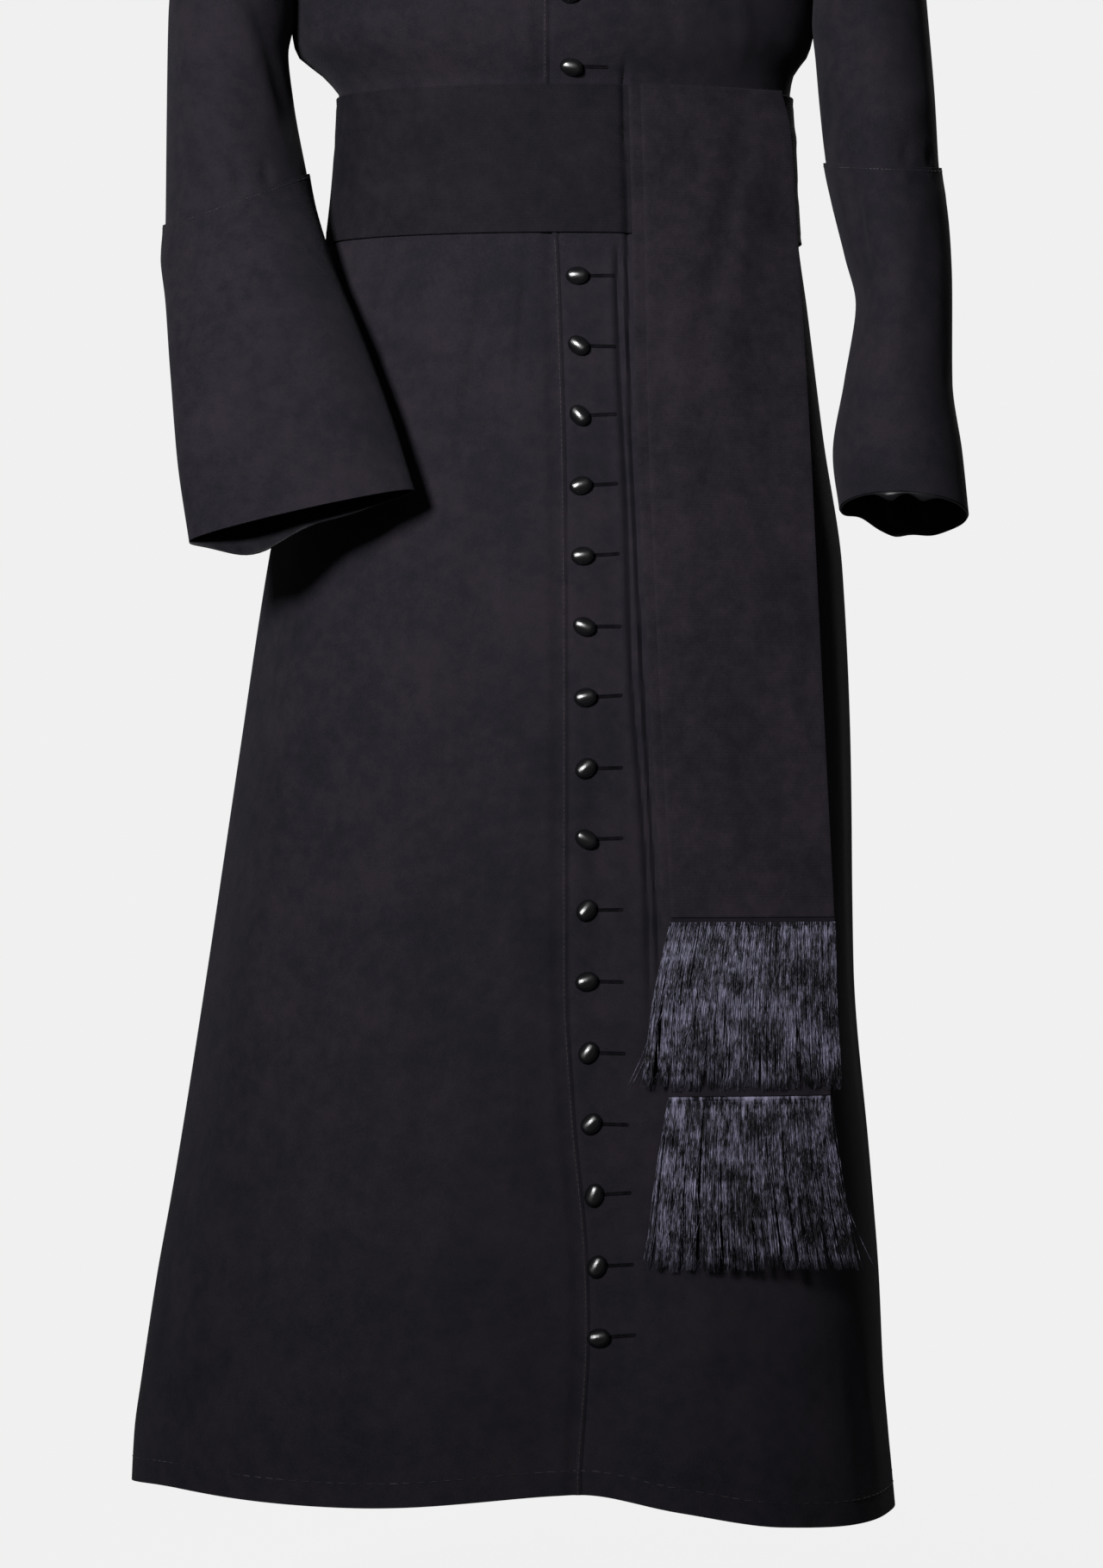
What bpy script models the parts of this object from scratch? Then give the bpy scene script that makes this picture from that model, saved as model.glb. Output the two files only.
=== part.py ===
"""A long black cassock with a band cincture, standing as it is worn, with nobody inside it.

Metres, +Z up. The front faces -Y and the wearer's left is +X. The origin lies between the two points
where the shoulder seams meet the neck, because that is where the wearer's shoulders hold it up.
Every cloth piece is a thin wall on one shared body form, so pieces that meet at a seam always fit.
"""

import math
from collections import namedtuple

import bmesh
import bpy
import numpy as np
from mathutils import Vector, bvhtree, kdtree

# Cloth and sewing
CLOTH = 0.0016
BAND_CLOTH = 0.0020
SEAM_GAP = 0.0004
LAP_STEP = CLOTH + 0.0004

# Body of the cassock
CHEST_HEIGHT = -0.250
HEM_LEVEL = -1.410
MIDDLE_Y = 0.005
NECK_SHARE = 0.38
QUARTER = math.pi / 2

# A level section of the body: how far it reaches each way from the middle
Section = namedtuple("Section", "height wearer_left wearer_right front back")
SECTIONS = [
    Section(-1.430, 0.2535, 0.3325, 0.218, 0.262),
    Section(-1.372, 0.2482, 0.3295, 0.214, 0.256),
    Section(-1.332, 0.2449, 0.3241, 0.210, 0.252),
    Section(-1.253, 0.2416, 0.3122, 0.204, 0.243),
    Section(-1.174, 0.2356, 0.2983, 0.197, 0.234),
    Section(-1.016, 0.2220, 0.2732, 0.183, 0.214),
    Section(-0.857, 0.2200, 0.2495, 0.169, 0.194),
    Section(-0.712, 0.2132, 0.2277, 0.155, 0.174),
    Section(-0.613, 0.1985, 0.2090, 0.141, 0.155),
    Section(-0.514, 0.1861, 0.1905, 0.129, 0.134),
    Section(-0.455, 0.1785, 0.1800, 0.120, 0.120),
    Section(-0.395, 0.1754, 0.1742, 0.114, 0.109),
    Section(-0.352, 0.1728, 0.1722, 0.112, 0.106),
    Section(-0.336, 0.1752, 0.1840, 0.119, 0.112),
    Section(-0.316, 0.1830, 0.2010, 0.126, 0.118),
    Section(-0.295, 0.1865, 0.2035, 0.130, 0.122),
    Section(CHEST_HEIGHT, 0.1900, 0.2000, 0.132, 0.124),
]

# A soft fold of the skirt: where it stands at the hem, how wide, how deep, and where it dies out
Fold = namedtuple("Fold", "angle half_width depth top")
FOLDS = [
    Fold(-42, 30, 0.012, -0.62),
    Fold(3, 24, -0.024, -0.70),
    Fold(50, 30, 0.012, -0.62),
    Fold(112, 20, 0.016, -0.52),
    Fold(133, 16, -0.014, -0.55),
    Fold(155, 17, 0.024, -0.48),
    Fold(180, 18, -0.030, -0.47),
    Fold(-155, 17, 0.024, -0.48),
    Fold(-133, 16, -0.014, -0.55),
    Fold(-112, 20, 0.016, -0.52),
]

# The hem's height round the body, from the back through the wearer's right, the front and the left
HemPoint = namedtuple("HemPoint", "angle height")
HEM = [
    HemPoint(-180, -1.420),
    HemPoint(-90, -1.4095),
    HemPoint(-62, -1.405),
    HemPoint(-27, -1.4105),
    HemPoint(3, -1.4015),
    HemPoint(20, -1.414),
    HemPoint(38, -1.427),
    HemPoint(55, -1.430),
    HemPoint(90, -1.428),
    HemPoint(180, -1.420),
]

# The front closing: the outer front's edge and the row of buttons
Closing = namedtuple("Closing", "height edge_x button_x")
CLOSING = [
    Closing(-1.395, 0.0078, 0.0250),
    Closing(-1.285, 0.0140, 0.0249),
    Closing(-1.233, 0.0125, 0.0235),
    Closing(-1.124, 0.0028, 0.0194),
    Closing(-1.025, -0.0023, 0.0160),
    Closing(-0.816, -0.0022, 0.0153),
    Closing(-0.657, -0.0035, 0.0120),
    Closing(-0.495, -0.0080, 0.0094),
    Closing(-0.336, -0.0164, 0.0050),
    Closing(CHEST_HEIGHT, -0.0164, 0.0040),
]
LAP_STEPS = (0.036, 0.018, 0.0)
LAP_RAMP = (-0.003, -0.012)

# Neck and shoulders
NECK_HALF_WIDTH = 0.073
NECK_FRONT = (-0.072, -0.062)
NECK_BACK = (0.062, 0.014)
COLLAR_HEIGHT = 0.040
COLLAR_LEAN = 0.005

# One ring of an arm: its outer and inner points seen from the front, then its depth and tilt
Ring = namedtuple("Ring", "outer_x outer_z inner_x inner_z middle_y half_depth tilt scoop")
LEFT_ARM = [
    Ring(0.203, -0.046, 0.1900, -0.250, 0.005, 0.070, 0, 0.024),
    Ring(0.222, -0.052, 0.1955, -0.2515, 0.001, 0.074, 0, 0.016),
    Ring(0.242, -0.072, 0.2000, -0.257, -0.004, 0.076, 0, 0.008),
    Ring(0.2565, -0.108, 0.2015, -0.266, -0.009, 0.076, 0, 0.002),
    Ring(0.265, -0.160, 0.2000, -0.279, -0.014, 0.074, 2, 0.0),
    Ring(0.271, -0.222, 0.1960, -0.297, -0.019, 0.071, 4, 0.0),
    Ring(0.2765, -0.288, 0.1895, -0.322, -0.023, 0.069, 6, 0.0),
    Ring(0.2820, -0.355, 0.1943, -0.360, -0.027, 0.067, 7, 0.0),
    Ring(0.2850, -0.408, 0.1990, -0.404, -0.030, 0.066, 8, 0.0),
    Ring(0.2885, -0.437, 0.2050, -0.434, -0.034, 0.066, 9, 0.0),
    Ring(0.2900, -0.478, 0.2150, -0.475, -0.041, 0.065, 10, 0.0),
    Ring(0.2905, -0.515, 0.2230, -0.512, -0.049, 0.064, 11, 0.0),
    Ring(0.2912, -0.575, 0.2155, -0.573, -0.061, 0.064, 11, 0.0),
    Ring(0.2980, -0.628, 0.2080, -0.627, -0.072, 0.064, 12, 0.0),
    Ring(0.3025, -0.675, 0.2065, -0.669, -0.079, 0.065, 12, 0.0),
]
RIGHT_ARM = [
    Ring(0.203, -0.046, 0.2000, -0.250, 0.005, 0.070, 0, 0.024),
    Ring(0.226, -0.052, 0.2055, -0.2515, 0.001, 0.074, 0, 0.016),
    Ring(0.251, -0.074, 0.2100, -0.257, -0.004, 0.076, 0, 0.008),
    Ring(0.271, -0.112, 0.2130, -0.266, -0.009, 0.076, 0, 0.002),
    Ring(0.285, -0.165, 0.2135, -0.279, -0.014, 0.074, 2, 0.0),
    Ring(0.2955, -0.228, 0.2125, -0.296, -0.019, 0.071, 4, 0.0),
    Ring(0.3020, -0.296, 0.2105, -0.320, -0.022, 0.069, 5, 0.0),
    Ring(0.3030, -0.370, 0.2060, -0.360, -0.026, 0.067, 6, 0.0),
    Ring(0.3035, -0.452, 0.1960, -0.413, -0.034, 0.066, 8, 0.0),
    Ring(0.3045, -0.475, 0.1915, -0.436, -0.041, 0.064, 10, 0.0),
    Ring(0.2985, -0.515, 0.1765, -0.485, -0.070, 0.058, 14, 0.0),
    Ring(0.2930, -0.572, 0.1535, -0.542, -0.108, 0.049, 16, 0.0),
    Ring(0.2865, -0.636, 0.1305, -0.604, -0.139, 0.040, 15, 0.0),
    Ring(0.2765, -0.697, 0.1130, -0.660, -0.162, 0.030, 14, 0.0),
]
CUFF_START = 8.0
SLEEVE_END = 8.35
CUFF_CLEAR = 0.0005

# The band cincture round the waist
BAND_TOP = -0.352
BAND_BOTTOM = -0.464
BAND_CLEAR = 0.0007

# A hanging end of the band: its two edges seen from the front
EndRow = namedtuple("EndRow", "height inner_x outer_x")
UPPER_END = [
    EndRow(-0.350, 0.0565, 0.1640),
    EndRow(-0.381, 0.0575, 0.1715),
    EndRow(-0.446, 0.0592, 0.1758),
    EndRow(-0.611, 0.0621, 0.1845),
    EndRow(-0.806, 0.0701, 0.1930),
    EndRow(-0.976, 0.0785, 0.2010),
]
UNDER_END = [
    EndRow(-0.3515, 0.0475, 0.1600),
    EndRow(-0.381, 0.0482, 0.1670),
    EndRow(-0.446, 0.0500, 0.1715),
    EndRow(-0.611, 0.0535, 0.1800),
    EndRow(-0.806, 0.0625, 0.1885),
    EndRow(-0.976, 0.0715, 0.1960),
    EndRow(-1.108, 0.0765, 0.1975),
]
END_CLOTH = 0.0014
END_CLEAR = 0.0004
ENDS_APART = 0.0012

# How far forward the ends' outer edges hang, where the skirt turns away beneath them
Hang = namedtuple("Hang", "height outer_y")
HANG = [
    Hang(-0.350, -0.050),
    Hang(-0.464, -0.060),
    Hang(-0.600, -0.090),
    Hang(-0.730, -0.110),
    Hang(-0.865, -0.128),
    Hang(-0.982, -0.140),
    Hang(-1.108, -0.150),
    Hang(-1.250, -0.160),
]
HANG_START = 0.050
HANG_TURN = 0.72

# Fringe knotted along the foot of each end
FringeSize = namedtuple("FringeSize", "top_height length spread_in spread_out")
UPPER_FRINGE = FringeSize(-0.9763, 0.124, 0.017, 0.008)
UNDER_FRINGE = FringeSize(-1.1083, 0.124, 0.012, 0.022)
HEADER_HEIGHT = 0.006
FRINGE_CLOTH = 0.0024
LOCKS_ACROSS = 32
LOCK_SHARE = 0.66
LOCK_STEPS = 3
FRINGE_SEED = 7

# Cloth-covered buttons down the front
BUTTON_RADIUS = 0.0080
BUTTON_RISE = 0.0066
BUTTON_CLEAR = 0.0004
LOWEST_BUTTON = -1.2862
BUTTON_STEP = 0.0526
BUTTON_PLACES = 24
BUTTON_SIDES = 10

BLACK_WOOL = ((0.018, 0.017, 0.022), 0.85)
BLACK_FAILLE = ((0.017, 0.015, 0.019), 0.70)
BLACK_SATIN = ((0.020, 0.019, 0.024), 0.35)
BLACK_SILK = ((0.035, 0.034, 0.042), 0.42)

# Rows and columns of the cloth grids
SKIRT_HEIGHTS = [-1.410, -1.330, -1.240, -1.150, -1.060, -0.970, -0.880, -0.790, -0.700]
SKIRT_HEIGHTS += [-0.610, -0.530, -0.464, -0.427, -0.390, -0.352, -0.336, -0.316, -0.295]
YOKE_RISES = np.linspace(0, 1, 11)
LEVELS = np.concatenate([np.array(SKIRT_HEIGHTS) - CHEST_HEIGHT, YOKE_RISES])
# The body's panels in lengths by row: to the knee, the band's middle, the chest, the shoulder
PANEL_LENGTHS = (("hem", 0, 5), ("skirt", 5, 12), ("chest", 12, 18), ("yoke", 18, len(LEVELS) - 1))
CORNER = NECK_SHARE * QUARTER
INNER_COLUMNS = 5
OUTER_COLUMNS = 8
COLLAR_ROWS = 3
BAND_HEIGHTS = [BAND_BOTTOM, -0.427, -0.390, BAND_TOP]
BAND_COLUMNS = 48
END_COLUMNS = 8
COLUMN_ROOM = 0.001
END_HEIGHTS = [-0.352, -0.390, -0.427, -0.464, -0.530, -0.610, -0.700, -0.790, -0.880]
ARM_TURNS = math.pi * (1 - np.arange(20) / 10)


def smooth_through(places, values):
    """A curve through the values that never swings past them (a monotone cubic)."""
    step = np.diff(places)
    slope = np.diff(values) / step
    same_way = slope[:-1] * slope[1:] > 0
    total = np.where(same_way, slope[:-1] + slope[1:], 1)
    lean = np.where(same_way, 2 * slope[:-1] * slope[1:] / total, 0)
    lean = np.concatenate([slope[:1], lean, slope[-1:]])

    def value(place):
        i = np.clip(np.searchsorted(places, place) - 1, 0, len(step) - 1)
        t = np.clip((place - places[i]) / step[i], 0, 1)
        level = values[i] + (values[i + 1] - values[i]) * t * t * (3 - 2 * t)
        turn = lean[i] * t * (1 - t) ** 2 - lean[i + 1] * t * t * (1 - t)
        return level + turn * step[i]

    return value


def curves(table, along):
    """One smooth curve for each other column of a table, by its name."""
    table = sorted(table, key=lambda row: getattr(row, along))
    places = np.array([getattr(row, along) for row in table])
    names = [name for name in table[0]._fields if name != along]
    columns = {name: np.array([getattr(row, name) for row in table]) for name in names}
    return {name: smooth_through(places, values) for name, values in columns.items()}


def arm_curves(rings):
    places = np.arange(len(rings), dtype=float)
    columns = {name: np.array([getattr(ring, name) for ring in rings]) for name in Ring._fields}
    return {name: smooth_through(places, values) for name, values in columns.items()}


SECTION_AT = curves(SECTIONS, "height")
HEM_AT = curves(HEM, "angle")["height"]
CLOSING_AT = curves(CLOSING, "height")
HANG_AT = curves(HANG, "height")["outer_y"]
ARMS = {1: arm_curves(LEFT_ARM), -1: arm_curves(RIGHT_ARM)}
END_AT = {"upper": curves(UPPER_END, "height")}


def ease(share):
    share = np.clip(share, 0, 1)
    return share * share * (3 - 2 * share)


def turned(angle):
    """The angle brought into the range from -180 to 180 degrees."""
    return (angle + math.pi) % (2 * math.pi) - math.pi


def stack(x, y, z):
    return np.stack(np.broadcast_arrays(x, y, z), axis=-1)


def unit(vectors):
    return vectors / np.maximum(np.linalg.norm(vectors, axis=-1, keepdims=True), 1e-12)


def fold_depth(angle, height):
    """How far the skirt's soft folds move the cloth out."""
    total = 0
    for fold in FOLDS:
        away = np.abs(turned(angle - math.radians(fold.angle))) / math.radians(fold.half_width)
        across = (1 + np.cos(math.pi * np.clip(away, 0, 1))) / 2
        down = ease((fold.top - height) / (fold.top - HEM_LEVEL))
        total = total + fold.depth * across * down
    return total


def half_width(across, height):
    left = SECTION_AT["wearer_left"](height)
    return np.where(across > 0, left, SECTION_AT["wearer_right"](height))


def section_point(angle, height, out=0.0):
    """A point of a level section; angle 0 is the centre front, a quarter turn the wearer's left."""
    across, ahead = np.sin(angle), np.cos(angle)
    depth = np.where(ahead > 0, SECTION_AT["front"](height), SECTION_AT["back"](height))
    out = out + fold_depth(angle, height)
    x = (half_width(across, height) + out) * across
    return stack(x, MIDDLE_Y - (depth + out) * ahead, height)


def front_angle(x, height, out=0.0):
    """The angle at which the front has this x, at this height."""
    angle = np.arcsin(np.clip(x / (half_width(x, height) + out), -1, 1))
    for _ in range(4):
        reach = half_width(x, height) + out + fold_depth(angle, height)
        angle = np.arcsin(np.clip(x / reach, -1, 1))
    return angle


def neck_point(turn):
    """A point of the neck seam; turn 0 is the centre front."""
    ahead, across = np.cos(turn), np.sin(turn)
    forward, rear = (1 + ahead) / 2, (1 - ahead) / 2
    lift = -(NECK_FRONT[1] + NECK_BACK[1]) / 2
    height = NECK_FRONT[1] * forward + NECK_BACK[1] * rear + lift * across**2
    return stack(NECK_HALF_WIDTH * across, NECK_FRONT[0] * forward + NECK_BACK[0] * rear, height)


def arm_point(side, place, turn):
    """A point of an arm; turn 0 is its outer line and a quarter turn its front line."""
    ring = {name: curve(place)[..., None] for name, curve in ARMS[side].items()}
    across, ahead = np.cos(turn)[..., None], np.sin(turn)[..., None]
    outer = np.concatenate([ring["outer_x"], ring["middle_y"], ring["outer_z"]], axis=-1)
    inner = np.concatenate([ring["inner_x"], ring["middle_y"], ring["inner_z"]], axis=-1)
    tilt = np.radians(ring["tilt"])
    front = np.concatenate([-ring["scoop"] * ahead, -ring["half_depth"] * np.cos(tilt),
                            ring["half_depth"] * np.sin(tilt)], axis=-1)
    point = (outer + inner) / 2 + (outer - inner) / 2 * across + front * ahead
    return point * np.array([side, 1, 1])


def armhole_point(side, face, share):
    """The armhole's seam, from the underarm at share 0 to the shoulder at share 1."""
    return arm_point(side, np.zeros_like(share), face * math.pi * (1 - share))


def centre_line(face, rise):
    """The centre front or centre back above the chest, up to the neck."""
    foot = section_point(0.0 if face > 0 else math.pi, CHEST_HEIGHT)
    neck_y, neck_z = NECK_FRONT if face > 0 else NECK_BACK
    bend = 1.7 if face > 0 else 2.2
    y = foot[1] + (neck_y - foot[1]) * rise**bend
    return stack(0.0, y, foot[2] + (neck_z - foot[2]) * rise)


def top_line(side, face, share):
    """The neck seam and then the shoulder seam, from the centre to the shoulder point."""
    turn = QUARTER * np.clip(share / NECK_SHARE, 0, 1)
    neck = neck_point(turn if face > 0 else math.pi - turn) * np.array([side, 1, 1])
    out = np.clip((share - NECK_SHARE) / (1 - NECK_SHARE), 0, 1)[..., None]
    return neck + (armhole_point(side, face, np.ones_like(share)) - neck) * out


def yoke_point(angle, side, face, rise):
    """A point of the body above the chest: rise 0 is the chest, 1 the neck and shoulder seams."""
    share = (np.abs(angle) if face > 0 else math.pi - np.abs(angle)) / QUARTER
    up, out = ease(rise)[..., None], ease(share)[..., None]
    at = np.array
    centre_angle = 0.0 if face > 0 else math.pi
    chest_centre = section_point(centre_angle, CHEST_HEIGHT)
    chest_side = section_point(side * QUARTER, CHEST_HEIGHT)
    ruled = section_point(angle, CHEST_HEIGHT) * (1 - up) + top_line(side, face, share) * up
    at_centre = centre_line(face, rise) - chest_centre * (1 - up)
    at_centre = at_centre - top_line(side, face, at(0.0)) * up
    at_arm = armhole_point(side, face, rise) - chest_side * (1 - up)
    at_arm = at_arm - top_line(side, face, at(1.0)) * up
    return ruled + at_centre * (1 - out) + at_arm * out


def skirt_point(angle, level):
    """A point of the body at or below the chest, with the rows running down to an uneven hem."""
    share = -level / (CHEST_HEIGHT - HEM_LEVEL)
    dip = (HEM_AT(np.degrees(turned(angle))) - HEM_LEVEL) * share**2
    return section_point(angle, CHEST_HEIGHT + level + dip)


def body_point(angle, level, side, face):
    """A point of the body: level is the depth below the chest, or the rise above it."""
    angle, level = np.broadcast_arrays(np.asarray(angle, float), np.asarray(level, float))
    rise = np.clip(level, 0, 1)
    crossed = np.where(angle * side < 0, -side, side)
    yokes = {each: yoke_point(angle, each, face, rise) for each in (1, -1)}
    yoke = np.where((crossed > 0)[..., None], yokes[1], yokes[-1])
    return np.where((level <= 0)[..., None], skirt_point(angle, np.clip(level, None, 0)), yoke)


def material(name, look):
    colour, roughness = look
    made = bpy.data.materials.new(name)
    made.use_nodes = True
    shader = made.node_tree.nodes["Principled BSDF"]
    shader.inputs["Base Color"].default_value = (*colour, 1)
    shader.inputs["Roughness"].default_value = roughness
    return made


def finish(shape, name, look):
    """Turns a bmesh into a named object, with its faces out and smooth between sharp edges."""
    bmesh.ops.recalc_face_normals(shape, faces=shape.faces)
    mesh = bpy.data.meshes.new(name)
    shape.to_mesh(mesh)
    shape.free()
    mesh.shade_smooth()
    mesh.set_sharp_from_angle(angle=math.radians(50))
    mesh.materials.append(look)
    bpy.context.scene.collection.objects.link(bpy.data.objects.new(name, mesh))


def add_cell(shape, a, b, c, d):
    """A four-sided cell as two triangles, always split from a to c so that layers agree."""
    shape.faces.new((a, b, c))
    shape.faces.new((a, c, d))


def wall(name, outer, inner, look, closed=False):
    """A cloth wall between two grids of points; a closed one joins its last column to its first."""
    rows, columns = outer.shape[:2]
    shape = bmesh.new()
    out, into = [[[shape.verts.new(p) for p in row] for row in grid] for grid in (outer, inner)]
    spans = [(j, (j + 1) % columns) for j in range(columns if closed else columns - 1)]
    for skin in (out, into):
        for i in range(rows - 1):
            for j, k in spans:
                add_cell(shape, skin[i][j], skin[i][k], skin[i + 1][k], skin[i + 1][j])
    for i in (0, rows - 1):
        for j, k in spans:
            add_cell(shape, out[i][j], out[i][k], into[i][k], into[i][j])
    for j in () if closed else (0, columns - 1):
        for i in range(rows - 1):
            add_cell(shape, out[i][j], out[i + 1][j], into[i + 1][j], into[i][j])
    finish(shape, name, look)


def grid_normals(grid, closed):
    """The area-weighted normal at each point of a grid, not yet of length one."""
    ring = np.concatenate([grid, grid[:, :1]], axis=1) if closed else grid
    first = ring[1:, 1:] - ring[:-1, :-1]
    second = ring[1:, :-1] - ring[:-1, 1:]
    face = np.cross(first, second)
    total = np.zeros(ring.shape)
    for rows in (slice(None, -1), slice(1, None)):
        for columns in (slice(None, -1), slice(1, None)):
            total[rows, columns] += face
    if closed:
        total[:, 0] += total[:, -1]
        total = total[:, :-1]
    return total


def shared_normal(found, flat):
    """The middle of the normals that the body, an arm and the collar have at one point."""
    parts = {}
    for _, index, _ in found:
        kind, total = flat[index]
        parts[kind] = parts.get(kind, 0) + total
    return sum(unit(total) for total in parts.values())


def sewn_normals(grids):
    """Outward normals of several grids as one surface, so that pieces share theirs at a seam."""
    flat = []
    for (kind, _), (grid, closed, facing) in grids.items():
        for total in (grid_normals(grid, closed) * facing).reshape(-1, 3):
            flat.append((kind, total))
    points = np.concatenate([grid.reshape(-1, 3) for grid, _, _ in grids.values()])
    tree = kdtree.KDTree(len(points))
    for index, point in enumerate(points):
        tree.insert(point, index)
    tree.balance()
    shared = {}
    for name, (grid, _, _) in grids.items():
        found = (tree.find_range(point, 1e-6) for point in grid.reshape(-1, 3))
        sums = np.array([shared_normal(each, flat) for each in found])
        shared[name] = unit(sums).reshape(grid.shape)
    return shared


def panel_angles(firsts, side, face):
    """A panel's column angles at each level, rising, with one column on the neck's corner."""
    corner = side * (CORNER if face > 0 else math.pi - CORNER)
    rows = []
    for first in firsts:
        near = np.linspace(first[-1], corner, INNER_COLUMNS + 1)
        far = np.linspace(corner, side * QUARTER, OUTER_COLUMNS + 1)
        rows.append(np.sort(np.concatenate([first[:-1], near, far[1:]])))
    return np.array(rows)


def level_heights():
    return CHEST_HEIGHT + np.clip(LEVELS, None, 0)


def front_grid(side):
    """The outer points of a front, from its closing edge to its side seam."""
    heights = level_heights()
    edge = CLOSING_AT["edge_x"](heights)
    steps = LAP_STEPS[::-1] if side > 0 else LAP_STEPS + LAP_RAMP
    firsts = np.stack([front_angle(edge + step, heights) for step in steps], axis=1)
    angles = panel_angles(firsts, side, 1)
    return body_point(angles, LEVELS[:, None], side, 1)


def back_grid(side):
    """The outer points of a back, from the centre back seam to its side seam."""
    angles = panel_angles(np.full((len(LEVELS), 1), side * math.pi), side, -1)
    return body_point(angles, LEVELS[:, None], side, -1)


def arm_grid(side, places):
    places, turns = np.meshgrid(np.array(places), ARM_TURNS, indexing="ij")
    return arm_point(side, places, turns)


def collar_grid(fronts, backs):
    """The collar's outer points, up from the neck edges of the four body panels."""
    neck = [
        fronts[1][-1, : len(LAP_STEPS) + INNER_COLUMNS],
        backs[1][-1, OUTER_COLUMNS + 1 :],
        backs[-1][-1, 1 : INNER_COLUMNS + 1],
        fronts[-1][-1, OUTER_COLUMNS + 1 : OUTER_COLUMNS + INNER_COLUMNS + 1],
    ]
    foot = np.concatenate(neck)
    centre = np.array([0, (NECK_FRONT[0] + NECK_BACK[0]) / 2, 0])
    inward = unit((centre - foot) * np.array([1, 1, 0]))
    rows = []
    for share in np.linspace(0, 1, COLLAR_ROWS):
        rows.append(foot + np.array([0, 0, COLLAR_HEIGHT * share]) + inward * COLLAR_LEAN * share)
    return np.array(rows)


def square_to(edge, inward, closed):
    """The inward direction at each point of an edge, made square to the edge."""
    ring = np.concatenate([edge[-1:], edge, edge[:1]]) if closed else edge
    along = np.gradient(ring, axis=0)
    along = unit(along[1:-1] if closed else along)
    return unit(inward - along * np.sum(inward * along, axis=-1, keepdims=True))


def drawn_in(grid, edges, closed=False):
    """Draws the named edges of a grid in by half the seam gap, so that pieces don't touch."""
    moved = grid.copy()
    half = SEAM_GAP / 2
    if "foot" in edges:
        moved[0] += square_to(grid[0], grid[1] - grid[0], closed) * half
    if "top" in edges:
        moved[-1] += square_to(grid[-1], grid[-2] - grid[-1], closed) * half
    if "start" in edges:
        moved[:, 0] += square_to(grid[:, 0], grid[:, 1] - grid[:, 0], False) * half
    if "end" in edges:
        moved[:, -1] += square_to(grid[:, -1], grid[:, -2] - grid[:, -1], False) * half
    return moved


def add_panel(name, outer, into, look):
    """A long panel of the body in its lengths, which meet edge to edge."""
    for length, low, high in PANEL_LENGTHS:
        edges = [edge for edge, row in (("foot", low), ("top", high)) if 0 < row < len(outer) - 1]
        skin = drawn_in(outer[low : high + 1], edges)
        wall(f"{name}_{length}", skin, skin - into[low : high + 1], look)


def add_fronts(fronts, normals, look):
    """The two fronts. The wearer's right one runs on beneath the other, past the buttons."""
    left = drawn_in(fronts[1], ("top", "end"))
    add_panel("front_left", left, normals["body", ("front", 1)] * CLOTH, look)
    under = np.zeros((fronts[-1].shape[1], 1))
    under[-len(LAP_STEPS) - 1 :] = LAP_STEP
    right = drawn_in(fronts[-1], ("top", "start")) - normals["body", ("front", -1)] * under
    add_panel("front_right", right, normals["body", ("front", -1)] * CLOTH, look)


def add_backs(backs, normals, look):
    for side, name in ((1, "back_left"), (-1, "back_right")):
        outer = drawn_in(backs[side], ("top", "start", "end"))
        add_panel(name, outer, normals["body", ("back", side)] * CLOTH, look)


def add_arm(side, word, grid, normal, places, look):
    """A sleeve, and the cuff that laps over its lower end."""
    sleeve = drawn_in(grid, ("foot",), closed=True)[: places.index(SLEEVE_END) + 1]
    into = normal[: len(sleeve)] * CLOTH
    wall(f"sleeve_{word}", sleeve, sleeve - into, look, closed=True)
    cuff, out = grid[places.index(CUFF_START) :], normal[places.index(CUFF_START) :]
    inner = cuff + out * CUFF_CLEAR
    wall(f"cuff_{word}", inner + out * CLOTH, inner, look, closed=True)


def add_collar(grid, normal, look):
    outer = drawn_in(grid, ("foot",))
    wall("collar", outer, outer - normal * CLOTH, look)


def add_band(look):
    angles = np.arange(BAND_COLUMNS) * 2 * math.pi / BAND_COLUMNS
    angles, heights = np.meshgrid(turned(angles), np.array(BAND_HEIGHTS))
    inner = section_point(angles, heights, BAND_CLEAR)
    outer = section_point(angles, heights, BAND_CLEAR + BAND_CLOTH)
    wall("band", outer, inner, look, closed=True)


def front_y(x, height, out):
    return section_point(front_angle(x, height, out), height, out)[..., 1]


def lying_y(x, height):
    """The depth of a cloth lying on the front, running straight on where the side turns away."""
    clear = BAND_CLEAR + BAND_CLOTH + END_CLEAR
    turn = HANG_TURN * SECTION_AT["wearer_left"](height)
    slope = (front_y(turn, height, clear) - front_y(turn - 0.002, height, clear)) / 0.002
    lying = front_y(np.minimum(x, turn), height, clear)
    return lying + slope * np.clip(x - turn, 0, None)


def hang_point(x, height, out):
    """A point of the hanging ends, which lie on the band and skirt and bridge past the side."""
    reach = END_AT["upper"]["outer_x"](height)
    away = np.clip((x - HANG_START) / (reach - HANG_START), 0, None)
    lift = lying_y(reach, height) - HANG_AT(height)
    return stack(x, lying_y(x, height) - lift * away**2 - out, height)


def end_x(rows, height, across):
    inner, outer = rows["inner_x"](height), rows["outer_x"](height)
    return inner + (outer - inner) * across


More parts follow.
